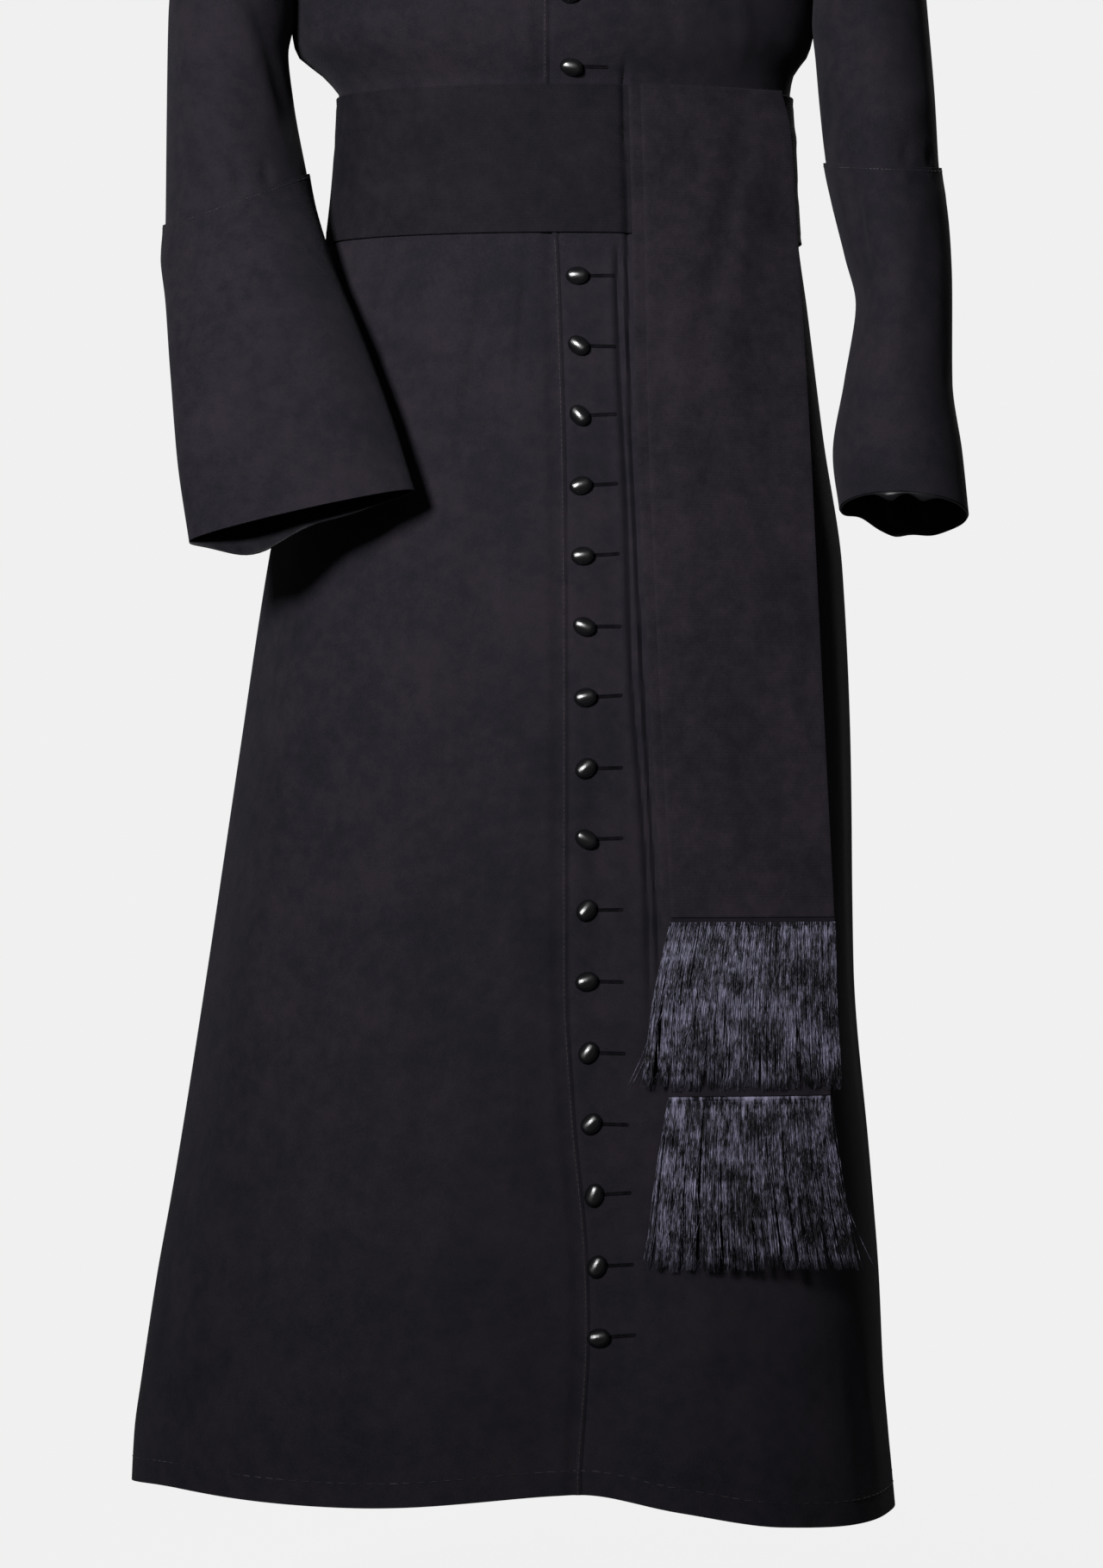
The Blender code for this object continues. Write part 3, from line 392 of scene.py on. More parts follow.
def close_seam(piece):
    """Sews the first column of a tube to its last."""
    bpy.ops.object.select_all(action="DESELECT")
    piece.select_set(True)
    bpy.context.view_layer.objects.active = piece
    bpy.ops.object.mode_set(mode="EDIT")
    bpy.ops.mesh.select_all(action="SELECT")
    bpy.ops.mesh.remove_doubles(threshold=0.00002)
    bpy.ops.object.mode_set(mode="OBJECT")


def thicken(piece, thickness, outside, inside, inward=True):
    """Gives the sheet its thickness and a lining side, and rounds its raw edges."""
    piece.data.materials.clear()
    piece.data.materials.append(outside)
    piece.data.materials.append(inside)
    apply_modifier(piece, "SOLIDIFY", thickness=thickness, offset=-1 if inward else 1, material_offset=1)
    apply_modifier(piece, "BEVEL", width=thickness * 0.42, segments=2, limit_method="ANGLE",
                   angle_limit=math.radians(60), harden_normals=False)
    bpy.ops.object.select_all(action="DESELECT")
    piece.select_set(True)
    bpy.context.view_layer.objects.active = piece
    bpy.ops.object.shade_smooth_by_angle(angle=math.radians(50))


def node(tree, kind, **settings):
    made = tree.nodes.new(kind)
    for key, value in settings.items():
        if key in made.inputs:
            made.inputs[key].default_value = value
        else:
            setattr(made, key, value)
    return made


def maths(tree, operation, a, b=None):
    made = tree.nodes.new("ShaderNodeMath")
    made.operation = operation
    for socket, value in zip(made.inputs, (a, b)):
        if isinstance(value, bpy.types.NodeSocket):
            tree.links.new(value, socket)
        elif value is not None:
            socket.default_value = value
    return made.outputs[0]


def start_group(name, inputs, outputs):
    group = bpy.data.node_groups.new(name, "ShaderNodeTree")
    for label, kind, value in inputs:
        socket = group.interface.new_socket(name=label, in_out="INPUT", socket_type=kind)
        if value is not None:
            socket.default_value = value
    for label, kind in outputs:
        group.interface.new_socket(name=label, in_out="OUTPUT", socket_type=kind)
    return group, group.nodes.new("NodeGroupInput"), group.nodes.new("NodeGroupOutput")


# The uneven tone of dyed black cloth: soft clouds of a warmer and a cooler black, and fine flecks
dye, into, out = start_group(
    "dyed_black",
    [("Place", "NodeSocketVector", None), ("Cool", "NodeSocketColor", (0, 0, 0, 1)),
     ("Warm", "NodeSocketColor", (0, 0, 0, 1)), ("Flecks", "NodeSocketFloat", 0.3)],
    [("Color", "NodeSocketColor"), ("Clouds", "NodeSocketFloat")])
clouds = node(dye, "ShaderNodeTexNoise", Scale=15.0, Detail=4.0, Roughness=0.6)
patches = node(dye, "ShaderNodeTexNoise", Scale=85.0, Detail=3.0, Roughness=0.65)
flecks = node(dye, "ShaderNodeTexNoise", Scale=620.0, Detail=2.0, Roughness=0.7)
for noise in (clouds, patches, flecks):
    dye.links.new(into.outputs["Place"], noise.inputs["Vector"])
blend = maths(dye, "ADD", maths(dye, "MULTIPLY", clouds.outputs["Fac"], 0.55),
              maths(dye, "MULTIPLY", patches.outputs["Fac"], 0.45))
spread = node(dye, "ShaderNodeMapRange")
spread.inputs["From Min"].default_value = 0.37
spread.inputs["From Max"].default_value = 0.63
dye.links.new(blend, spread.inputs["Value"])
tint = node(dye, "ShaderNodeMix", data_type="RGBA")
dye.links.new(spread.outputs["Result"], tint.inputs["Factor"])
dye.links.new(into.outputs["Cool"], tint.inputs[6])
dye.links.new(into.outputs["Warm"], tint.inputs[7])
speck = maths(dye, "ADD", maths(dye, "MULTIPLY", maths(dye, "SUBTRACT", flecks.outputs["Fac"], 0.5),
                                into.outputs["Flecks"]), 0.70)
speck = maths(dye, "ADD", speck, maths(dye, "MULTIPLY", spread.outputs["Result"], 0.58))
lighter = node(dye, "ShaderNodeVectorMath", operation="SCALE")
dye.links.new(tint.outputs[2], lighter.inputs[0])
dye.links.new(speck, lighter.inputs["Scale"])
dye.links.new(lighter.outputs["Vector"], out.inputs["Color"])
dye.links.new(spread.outputs["Result"], out.inputs["Clouds"])

# The relief of woven yarns, from a UV map in metres: Twill 1 leans the ridges, 0 lays them level
weave, into, out = start_group(
    "woven_relief",
    [("Metres", "NodeSocketVector", None), ("Yarns", "NodeSocketFloat", 1000.0),
     ("Twill", "NodeSocketFloat", 1.0), ("Fuzz", "NodeSocketFloat", 0.5)],
    [("Height", "NodeSocketFloat")])
parts = node(weave, "ShaderNodeSeparateXYZ")
weave.links.new(into.outputs["Metres"], parts.inputs[0])
warp = maths(weave, "MULTIPLY", parts.outputs["X"], into.outputs["Yarns"])
weft = maths(weave, "MULTIPLY", parts.outputs["Y"], into.outputs["Yarns"])
ridge = maths(weave, "ADD", maths(weave, "MULTIPLY", warp, into.outputs["Twill"]), weft)
ridge = maths(weave, "SINE", maths(weave, "MULTIPLY", ridge, math.pi))
yarn = maths(weave, "SINE", maths(weave, "MULTIPLY", warp, 2 * math.pi))
nap = node(weave, "ShaderNodeTexNoise", Scale=900.0, Detail=3.0, Roughness=0.65)
weave.links.new(into.outputs["Metres"], nap.inputs["Vector"])
relief = maths(weave, "ADD", ridge, maths(weave, "MULTIPLY", yarn, 0.35))
relief = maths(weave, "ADD", relief, maths(weave, "MULTIPLY", maths(weave, "SUBTRACT", nap.outputs["Fac"], 0.5),
                                          maths(weave, "MULTIPLY", into.outputs["Fuzz"], 6.0)))
weave.links.new(relief, out.inputs["Height"])


def cloth_material(name, cool, warm, roughness, yarns, twill, fuzz, flecks, depth, sheen, gloss=0.3):
    made = bpy.data.materials.new(name)
    made.use_nodes = True
    tree = made.node_tree
    shader = tree.nodes["Principled BSDF"]
    place = tree.nodes.new("ShaderNodeTexCoord")
    metres = tree.nodes.new("ShaderNodeUVMap")
    metres.uv_map = "UVMap"
    tone = node(tree, "ShaderNodeGroup", node_tree=dye, Cool=(*cool, 1), Warm=(*warm, 1), Flecks=flecks)
    tree.links.new(place.outputs["Object"], tone.inputs["Place"])
    cloth = node(tree, "ShaderNodeGroup", node_tree=weave, Yarns=yarns, Twill=twill, Fuzz=fuzz)
    tree.links.new(metres.outputs["UV"], cloth.inputs["Metres"])
    bump = node(tree, "ShaderNodeBump", Distance=depth, Strength=1.0)
    tree.links.new(cloth.outputs["Height"], bump.inputs["Height"])
    rough = node(tree, "ShaderNodeMapRange")
    rough.inputs["To Min"].default_value = roughness - 0.05
    rough.inputs["To Max"].default_value = roughness + 0.05
    tree.links.new(tone.outputs["Clouds"], rough.inputs["Value"])
    tree.links.new(tone.outputs["Color"], shader.inputs["Base Color"])
    tree.links.new(rough.outputs["Result"], shader.inputs["Roughness"])
    tree.links.new(bump.outputs["Normal"], shader.inputs["Normal"])
    shader.inputs["Sheen Weight"].default_value = sheen
    shader.inputs["Sheen Roughness"].default_value = 0.5
    shader.inputs["Sheen Tint"].default_value = (0.80, 0.78, 0.90, 1)
    shader.inputs["Specular IOR Level"].default_value = gloss
    return made


def thread_material(name, colour, bright, roughness, wander=160.0, low=0.40):
    """Sewing silk: a twisted thread whose tone wanders along it."""
    made = bpy.data.materials.new(name)
    made.use_nodes = True
    tree = made.node_tree
    shader = tree.nodes["Principled BSDF"]
    place = tree.nodes.new("ShaderNodeTexCoord")
    # The thread's tone wanders between its darker and lighter colour: the lighter spots are partly wear and partly
    # painted glints.
    wear_and_glints = node(tree, "ShaderNodeTexNoise", Scale=wander, Detail=2.0)
    tree.links.new(place.outputs["Object"], wear_and_glints.inputs["Vector"])
    ramp = tree.nodes.new("ShaderNodeValToRGB")
    ramp.color_ramp.elements[0].position, ramp.color_ramp.elements[1].position = low, low + 0.2
    ramp.color_ramp.elements[0].color, ramp.color_ramp.elements[1].color = (*colour, 1), (*bright, 1)
    tree.links.new(wear_and_glints.outputs["Fac"], ramp.inputs["Fac"])
    tree.links.new(ramp.outputs["Color"], shader.inputs["Base Color"])
    twist = node(tree, "ShaderNodeTexWave", Scale=700.0, Distortion=1.0, bands_direction="DIAGONAL")
    tree.links.new(place.outputs["Object"], twist.inputs["Vector"])
    bump = node(tree, "ShaderNodeBump", Distance=0.0001, Strength=0.6)
    tree.links.new(twist.outputs["Fac"], bump.inputs["Height"])
    tree.links.new(bump.outputs["Normal"], shader.inputs["Normal"])
    shader.inputs["Roughness"].default_value = roughness
    shader.inputs["Sheen Weight"].default_value = 0.1
    return made


wool = cloth_material("black_wool", (0.0190, 0.0176, 0.0262), (0.0228, 0.0180, 0.0250),
                      0.86, 1100.0, 1.0, 0.7, 0.8, 0.00008, 0.05, 0.22)
lining = cloth_material("black_lining", (0.014, 0.014, 0.018), (0.018, 0.017, 0.021),
                        0.34, 2400.0, 0.0, 0.1, 0.2, 0.00002, 0.02, 0.5)
sewing = thread_material("sewing_silk", (0.018, 0.016, 0.021), (0.085, 0.070, 0.082), 0.5)
edge_sewing = thread_material("edge_sewing_silk", (0.026, 0.021, 0.027), (0.052, 0.038, 0.044), 0.75)
# Cuff seam thread: mostly dark with sparse bright spots, partly worn thread and partly painted glints.
worn_and_glint_sewing = thread_material("worn_and_glint_sewing_silk", (0.016, 0.015, 0.020), (0.150, 0.130, 0.150), 0.5, 60.0, 0.50)
hem_sewing = thread_material("hem_sewing_silk", (0.018, 0.016, 0.022), (0.100, 0.085, 0.100), 0.5, 22.0, 0.46)

below_rows = np.linspace(HEM - CHEST, 0, 166)
hem_rows = HEM - CHEST + np.array([0.0, 0.0012, 0.003, 0.0065, 0.0135, 0.0162, 0.018, 0.0198, 0.0225])
below_rows = np.concatenate([hem_rows, below_rows[4:]])
above_rows = seamed(30, 0.02)[4:]
LEVELS = np.concatenate([below_rows, above_rows])


def creased(grid, outward=1):
    """Moves a panel's points along its normals by its creases."""
    angle = np.arctan2(grid[..., 0] / half_width(grid[..., 0], np.clip(grid[..., 2], None, CHEST)),
                       -(grid[..., 1] - 0.005) / 0.13)
    flat = np.arctan2(grid[..., 0], -(grid[..., 1] - 0.005))
    move = soft_lines(BODY_CREASES, flat, grid[..., 2], 0.23)
    band = ease((np.abs(grid[..., 2] + 0.408) - 0.060) / 0.022)
    move = move * band + pressed_in(grid)
    normal = grid_normals(grid)
    away = grid - np.array([0, 0.005, 0])
    away[..., 2] = 0
    normal = normal * np.sign(np.sum(normal * away, axis=-1).mean())
    return grid + normal * move[..., None], normal


def seam_dip(grid, normal, sides, reach=0.0016, depth=0.0008):
    """Sinks the cloth into its seams at the named sides of a panel."""
    moved = grid.copy()
    for side in sides:
        turned_grid = {"start": grid, "end": grid[:, ::-1], "top": np.swapaxes(grid, 0, 1)[:, ::-1],
                       "foot": np.swapaxes(grid, 0, 1)}[side]
        steps = np.linalg.norm(np.diff(turned_grid, axis=1), axis=-1)
        away = np.concatenate([np.zeros((len(steps), 1)), np.cumsum(steps, axis=1)], axis=1)
        dip = depth * np.exp(-((away / reach) ** 2))
        dip = {"start": dip, "end": dip[:, ::-1], "top": np.swapaxes(dip[:, ::-1], 0, 1),
               "foot": np.swapaxes(dip, 0, 1)}[side]
        moved = moved - normal * dip[..., None]
    return moved


def pull_in(grid, sides, gap=0.0002):
    moved = grid.copy()
    for side, first, second in (("start", np.s_[:, 0], np.s_[:, 1]), ("end", np.s_[:, -1], np.s_[:, -2]),
                                ("top", np.s_[-1], np.s_[-2]), ("foot", np.s_[0], np.s_[1])):
        if side in sides:
            step = grid[second] - grid[first]
            moved[first] += step / np.maximum(np.linalg.norm(step, axis=-1, keepdims=True), 1e-9) * gap
    return moved


def panel_angles(firsts, side, face, near, far):
    """Column angles at each level, from the first ones through the neck's corner to the side seam."""
    corner = side * (0.38 * QUARTER if face > 0 else math.pi - 0.38 * QUARTER)
    rows = []
    for first in firsts:
        start = np.array([0, 0.008, 0.019, 0.030, 0.041, 0.055])
        inner = first[-1] + (corner - first[-1]) * np.concatenate([start, np.linspace(0.075, 1, near)])
        outer = corner + (side * QUARTER - corner) * np.concatenate([np.linspace(0, 0.992, far)[1:], [0.9965, 1]])
        rows.append(np.concatenate([first[:-1], inner, outer]))
    return np.array(rows)


UNDER_EDGE = np.array([(-1.108, 0.0765), (-0.976, 0.0715), (-0.806, 0.0625), (-0.611, 0.0535),
                       (-0.446, 0.0500), (-0.381, 0.0482), (-0.3515, 0.0475)])
under_edge = smooth_through(UNDER_EDGE[:, 0], UNDER_EDGE[:, 1])


def pressed_in(grid):
    """The narrow trough that the hanging ends press into what they lie on, along their edge."""
    height = grid[..., 2]
    beside = grid[..., 0] - under_edge(height)
    wander = 0.0012 * np.sin(height * 23 + 1.0)
    near = 0.0042 * np.exp(-(((beside + 0.0026) / 0.0026) ** 2))
    second = 0.0030 * np.exp(-(((beside + 0.0100 + wander) / 0.0021) ** 2)) * ease((-0.462 - height) / 0.03)
    raised = 0.0012 * np.exp(-(((beside + 0.0160 + wander) / 0.0032) ** 2)) * ease((-0.462 - height) / 0.03)
    fade = ease((height + 1.10) / 0.14) * ease((-0.335 - height) / 0.012)
    return (raised - near - second) * fade * (grid[..., 1] < 0)


LEVEL_HEIGHTS = CHEST + np.clip(LEVELS, None, 0)
edge = edge_line(LEVEL_HEIGHTS)
panels = {}
left_firsts = front_angle(edge, LEVEL_HEIGHTS)[:, None]
right_steps = np.concatenate([np.linspace(0.036, 0.003, 8), np.linspace(0.0, -0.015, 8)])
right_firsts = np.stack([front_angle(edge + step, LEVEL_HEIGHTS) for step in right_steps], axis=1)
for name, side, face, firsts in (
        ("front_left", 1, 1, left_firsts), ("front_right", -1, 1, right_firsts),
        ("back_left", 1, -1, np.full((len(LEVELS), 1), math.pi)),
        ("back_right", -1, -1, np.full((len(LEVELS), 1), -math.pi))):
    angles = panel_angles(firsts, side, face, 58 if face > 0 else 28, 46)
    grid = body_point(angles, LEVELS[:, None] + 0 * angles, side, face)
    grid, normal = creased(grid)
    if name == "front_right":
        past = grid[..., 0] - edge[:, None]
        under = LAP_STEP * ease((past + 0.012) / 0.010)
        grid = grid - normal * under[..., None]
        grid = seam_dip(pull_in(grid, ("end", "top")), normal, ("end", "top"))
    elif name == "front_left":
        grid = seam_dip(pull_in(grid, ("end", "top")), normal, ("end", "top"))
        steps = np.linalg.norm(np.diff(grid, axis=1), axis=-1)
        away = np.concatenate([np.zeros((len(steps), 1)), np.cumsum(steps, axis=1)], axis=1)
        roll = 0.0010 * np.exp(-((away - 0.0021) / 0.0016) ** 2) - 0.0009 * np.exp(-((away - 0.0052) / 0.0013) ** 2)
        grid = grid + normal * roll[..., None]
    else:
        grid = seam_dip(pull_in(grid, ("start", "end", "top")), normal, ("start", "end", "top"))
    panel = lay_sheet(name + "_cloth", grid, (0, -face, 0))
    thicken(panel, CLOTH, wool, lining)
    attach(panel, "root")
    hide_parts(*(f"{name}_{length}" for length in ("yoke", "chest", "skirt", "hem")))
    panels[name] = (panel, grid, normal)


# --- Sleeves and cuffs --------------------------------------------------------------------------
# Plain sleeves of the same wool, set into the armholes, and deep cuffs sewn on below the elbow,
# each lapping over the sleeve's end and faced inside with satin.

# turn and place along the arm of one end of a crease, of the other, its half width and depth
LEFT_SLEEVE_CREASES = [
    (1.2, 5.2, 2.6, 6.1, 0.45, -0.0022), (0.4, 6.9, 1.9, 7.6, 0.40, 0.0020), (2.4, 6.6, 3.0, 8.0, 0.35, -0.0020),
    (-1.2, 5.6, -2.4, 6.6, 0.45, 0.0022), (-0.6, 7.0, -1.9, 7.5, 0.40, -0.0022), (1.0, 2.4, 1.7, 4.4, 0.45, 0.0018),
    (-1.0, 2.6, -1.8, 4.6, 0.45, 0.0018), (0.9, 9.2, 1.5, 12.6, 0.50, -0.0022), (2.0, 8.8, 1.9, 13.0, 0.45, 0.0020),
    (2.15, 3.6, 2.0, 8.1, 0.30, -0.0060), (2.2, 7.9, 2.5, 10.6, 0.32, -0.0055), (1.1, 7.62, 1.3, 7.95, 0.13, -0.0024),
    (1.7, 7.60, 1.8, 7.95, 0.11, -0.0026), (0.6, 7.64, 0.7, 7.95, 0.12, -0.0022), (1.35, 8.05, 1.3, 8.55, 0.13, 0.0018),
    (0.1, 9.0, 0.4, 12.0, 0.45, 0.0018), (-1.3, 9.0, -1.6, 13.2, 0.50, -0.0020), (-2.3, 9.2, -2.1, 12.2, 0.40, 0.0020),
]
RIGHT_SLEEVE_CREASES = [
    (1.1, 4.8, 2.5, 6.0, 0.45, -0.0022), (0.5, 6.5, 1.8, 7.3, 0.40, 0.0022), (2.3, 6.2, 2.9, 7.8, 0.35, -0.0022),
    (-1.1, 5.2, -2.3, 6.4, 0.45, 0.0022), (-0.5, 6.8, -1.8, 7.4, 0.40, -0.0022), (1.1, 2.3, 1.8, 4.2, 0.45, 0.0018),
    (-1.1, 2.5, -1.7, 4.4, 0.45, 0.0018), (0.7, 9.0, 1.5, 11.6, 0.50, -0.0024), (1.9, 8.8, 2.3, 12.4, 0.45, 0.0020),
    (0.9, 3.4, 1.8, 5.6, 0.42, -0.0040), (1.6, 5.2, 2.4, 7.3, 0.36, 0.0034), (1.15, 7.55, 1.3, 7.95, 0.14, -0.0030),
    (1.6, 7.50, 1.75, 7.95, 0.12, -0.0034), (2.05, 7.58, 2.15, 7.95, 0.11, -0.0028), (1.4, 8.05, 1.45, 8.6, 0.14, 0.0020),
    (0.2, 9.0, 0.5, 12.6, 0.42, 0.0018), (-1.2, 9.2, -1.6, 12.6, 0.50, -0.0020), (-2.4, 9.2, -2.0, 12.0, 0.40, 0.0020),
]


def tube_normals(grid):
    ring = np.concatenate([grid[:, -2:-1], grid, grid[:, 1:2]], axis=1)
    normal = grid_normals(ring)[:, 1:-1]
    away = grid - grid.mean(axis=1, keepdims=True)
    return normal * np.sign(np.sum(normal * away, axis=-1).mean())


def arm_sheet(name, side, places, out, table, turns=96):
    turn = math.pi * (1 - np.linspace(0, 2, turns + 1))
    turn[-1] = -math.pi
    places, turn = np.meshgrid(places, turn, indexing="ij")
    grid = arm_point(side, places, turn)
    normal = tube_normals(grid)
    move = soft_lines(table, turn, places, 1.0)
    ends = ease((places - 0.3) / 1.2)
    grid = grid + normal * (move * ends + out)[..., None]
    if name == "cuff":
        across, behind = np.cos(turn), np.clip(-np.sin(turn), 0, 1)
        waves = 0.0080 * np.exp(-(((across + 0.68) / 0.27) ** 2)) - 0.0022 * np.exp(-(((across + 0.06) / 0.16) ** 2))
        waves = waves - 0.0018 * np.exp(-(((across - 0.52) / 0.22) ** 2))
        late = ease((places - (13.2 if side > 0 else 12.3)) / 0.7)
        if side > 0:
            grid[..., 2] += waves * behind**0.5 * late
            grid[..., 1] -= 0.0030 * np.sin(across * 9) * behind * late
        else:
            drop = 0.0170 * np.exp(-(((across - 0.45) / 0.42) ** 2)) + 0.0030 * np.exp(-(((across + 0.40) / 0.30) ** 2))
            grid[..., 2] -= drop * behind**0.5 * late
            grid[..., 1] -= 0.0300 * behind * late
    return grid, normal


sleeves, cuffs = {}, {}
for side, word, last, table in ((1, "left", 14.0, LEFT_SLEEVE_CREASES), (-1, "right", 13.0, RIGHT_SLEEVE_CREASES)):
    places = np.concatenate([[0.0, 0.03, 0.07, 0.14], np.linspace(0.25, 8.35, 92)])
    grid, normal = arm_sheet("sleeve", side, places, 0.0, table)
    grid = seam_dip(pull_in(grid, ("foot",)), normal, ("foot",))
    sleeve = lay_sheet(f"sleeve_{word}_cloth", grid, (0, 0, 0))
    middle = grid.mean(axis=1)[len(grid) // 2]
    face = sleeve.data.polygons[(len(grid) // 2) * (grid.shape[1] - 1)]
    if face.normal.dot(face.center - Vector(middle)) < 0:
        sleeve.data.flip_normals()
    close_seam(sleeve)
    thicken(sleeve, CLOTH, wool, lining)
    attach(sleeve, "root")
    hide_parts(f"sleeve_{word}")
    sleeves[word] = (sleeve, grid, normal)

    places = np.concatenate([[8.0, 8.006, 8.02, 8.05], np.linspace(8.1, last - 0.02, 62), [last - 0.008, last]])
    grid, normal = arm_sheet("cuff", side, places, 0.0005 + CLOTH, table)
    cuff = lay_sheet(f"cuff_{word}_cloth", grid, (0, 0, 0))
    middle = grid.mean(axis=1)[len(grid) // 2]
    face = cuff.data.polygons[(len(grid) // 2) * (grid.shape[1] - 1)]
    if face.normal.dot(face.center - Vector(middle)) < 0:
        cuff.data.flip_normals()
    close_seam(cuff)
    thicken(cuff, CLOTH, wool, lining)
    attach(cuff, "root")
    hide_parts(f"cuff_{word}")
    cuffs[word] = (cuff, grid, normal)


def rolled_edge(name, rim, normal, radius, sides=10):
    """The lining's edge where it rolls out below a rim: a soft tube along it, thicker in places."""
    turn = np.linspace(0, 2 * math.pi, sides + 1)
    turn[-1] = 0
    size = radius[:, None, None]
    out = normal / np.linalg.norm(normal, axis=-1, keepdims=True)
    middle = rim - out * (0.0009 + size[:, 0] * 0.6) - np.array([0, 0, 1]) * (0.0004 + size[:, 0] * 0.5)
    grid = middle[:, None] + size * (np.cos(turn)[None, :, None] * out[:, None] + np.sin(turn)[None, :, None] * np.array([0, 0, 1]))
    grid[-1] = grid[0]
    piece = lay_sheet(name, grid, (0, 0, 0))
    close_seam(piece)
    face = piece.data.polygons[5]
    if face.normal.dot(face.center - Vector(middle[:3].mean(axis=0))) < 0:
        piece.data.flip_normals()
    piece.data.materials.append(lining)
    piece.data.shade_smooth()
    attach(piece, "root")
    return piece


turn = math.pi * (1 - np.linspace(0, 2, 97))
swell = 0.0040 * np.exp(-(((np.cos(turn) + 0.29) / 0.15) ** 2)) + 0.0030 * np.exp(-(((np.cos(turn) - 0.25) / 0.16) ** 2))
swell = swell * np.clip(np.sin(turn), 0, 1) ** 0.5
rolled_edge("cuff_left_lining_edge", cuffs["left"][1][-1], cuffs["left"][2][-1], 0.0006 + swell)


# --- Collar -------------------------------------------------------------------------------------
# A plain stand collar of the same wool, stiffened, sewn round the neck and open at the closing.

COLLAR_ENDS = (-0.2158, 2 * math.pi - 0.375)
turns = np.linspace(*COLLAR_ENDS, 181)
foot = neck_point(turns)
from_end = np.concatenate([[0], np.cumsum(np.linalg.norm(np.diff(foot, axis=0), axis=1))])
from_end = np.minimum(from_end, from_end[-1] - from_end)
corner_radius = 0.009
cut_away = corner_radius - np.sqrt(np.clip(corner_radius**2 - np.clip(corner_radius - from_end, 0, None) ** 2, 0, None))
inward = np.array([0, -0.005, 0]) - foot
inward[:, 2] = 0
inward = inward / np.linalg.norm(inward, axis=1, keepdims=True)
share = np.array([0, 0.008, 0.03, 0.08, 0.18, 0.3, 0.42, 0.54, 0.66, 0.78, 0.88, 0.94, 0.975, 1.0])[:, None, None]
rise = (0.040 - cut_away)[None, :, None] * share
grid = foot[None] + np.array([0, 0, 1]) * rise + inward[None] * 0.005 * share
normal = grid_normals(grid)
normal = normal * np.sign(np.sum(normal * -inward[None], axis=-1).mean())
grid = seam_dip(pull_in(grid, ("foot",)), normal, ("foot",), reach=0.0014)
collar = lay_sheet("collar_cloth", grid, (0, 1, 0))
thicken(collar, CLOTH, wool, lining)
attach(collar, "root")
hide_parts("collar")
panels["collar"] = (collar, grid, normal)


# --- Sewing -------------------------------------------------------------------------------------
# Rows of small silk stitches: along the outer front's edge, round the turned-up hem, along the top
# of each cuff and round the collar. Each stitch is one small capsule, copied along its line.

bpy.ops.mesh.primitive_uv_sphere_add(segments=6, ring_count=6, radius=1.0)
capsule = bpy.context.object
stitch_points = np.array([v.co for v in capsule.data.vertices])
stitch_points[:, 2] = np.sign(stitch_points[:, 2]) * np.abs(stitch_points[:, 2]) ** 0.7
stitch_faces = [list(face.vertices) for face in capsule.data.polygons]
bpy.ops.object.delete()


def copies_of(name, shape, faces, middles, frames, material, uvs=None):
    """One mesh of many copies of a small shape, each turned and sized by its own frame."""
    count, size = len(middles), len(shape)
    points = np.einsum("pk,nkj->npj", shape, frames) + middles[:, None, :]
    mesh = bpy.data.meshes.new(name)
    all_faces = [[v + size * k for v in face] for k in range(count) for face in faces]
    mesh.from_pydata(points.reshape(-1, 3).tolist(), [], all_faces)
    mesh.shade_smooth()
    mesh.materials.append(material)
    piece = bpy.data.objects.new(name, mesh)
    bpy.context.scene.collection.objects.link(piece)
    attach(piece, "root")
    return piece


def line_from(grid, normal, side, distance):
    """The line on a sheet at this distance from one of its sides, with the sheet's normals."""
    swap = side in ("foot", "top")
    points, out = (np.swapaxes(each, 0, 1) if swap else each for each in (grid, normal))
    if side in ("end", "top"):
        points, out = points[:, ::-1], out[:, ::-1]
    steps = np.linalg.norm(np.diff(points, axis=1), axis=-1)
    away = np.concatenate([np.zeros((len(steps), 1)), np.cumsum(steps, axis=1)], axis=1)
    line, lean = [], []
    for row in range(len(points)):
        line.append([np.interp(distance, away[row], points[row, :, k]) for k in range(3)])
        lean.append([np.interp(distance, away[row], out[row, :, k]) for k in range(3)])
    return np.array(line), np.array(lean)


def stitch_row(name, lines, pitch, length, thick, material, seed, lift=0.0001):
    """Even stitches along lines on the cloth, each a little different in place and turn."""
    chance = np.random.default_rng(seed)
    middles, frames = [], []
    for points, out in lines:
        run = np.concatenate([[0], np.cumsum(np.linalg.norm(np.diff(points, axis=0), axis=1))])
        spots = np.arange(pitch * 0.6, run[-1] - pitch * 0.4, pitch)
        spots = spots + chance.uniform(-0.08, 0.08, len(spots)) * pitch
        at = np.stack([np.interp(spots, run, points[:, k]) for k in range(3)], axis=1)
        ahead = np.stack([np.interp(spots + 0.001, run, points[:, k]) for k in range(3)], axis=1) - at
        up = np.stack([np.interp(spots, run, out[:, k]) for k in range(3)], axis=1)
        ahead = ahead / np.linalg.norm(ahead, axis=1, keepdims=True)
        up = up / np.linalg.norm(up, axis=1, keepdims=True)
        beside = np.cross(up, ahead)
        ahead = ahead + beside * chance.uniform(-0.07, 0.07, (len(spots), 1))
        sizes = chance.uniform(0.85, 1.1, (len(spots), 1))
        frames.append(np.stack([beside * thick, up * thick * 0.8, ahead * length / 2 * sizes], axis=1))
        middles.append(at + up * lift)
    return copies_of(name, stitch_points, stitch_faces, np.concatenate(middles), np.concatenate(frames), material)


def without(line, low, high):
    """The parts of a line below and above a span of heights."""
    points, out = line
    return [(points[keep], out[keep]) for keep in (points[:, 2] < low, points[:, 2] > high)]


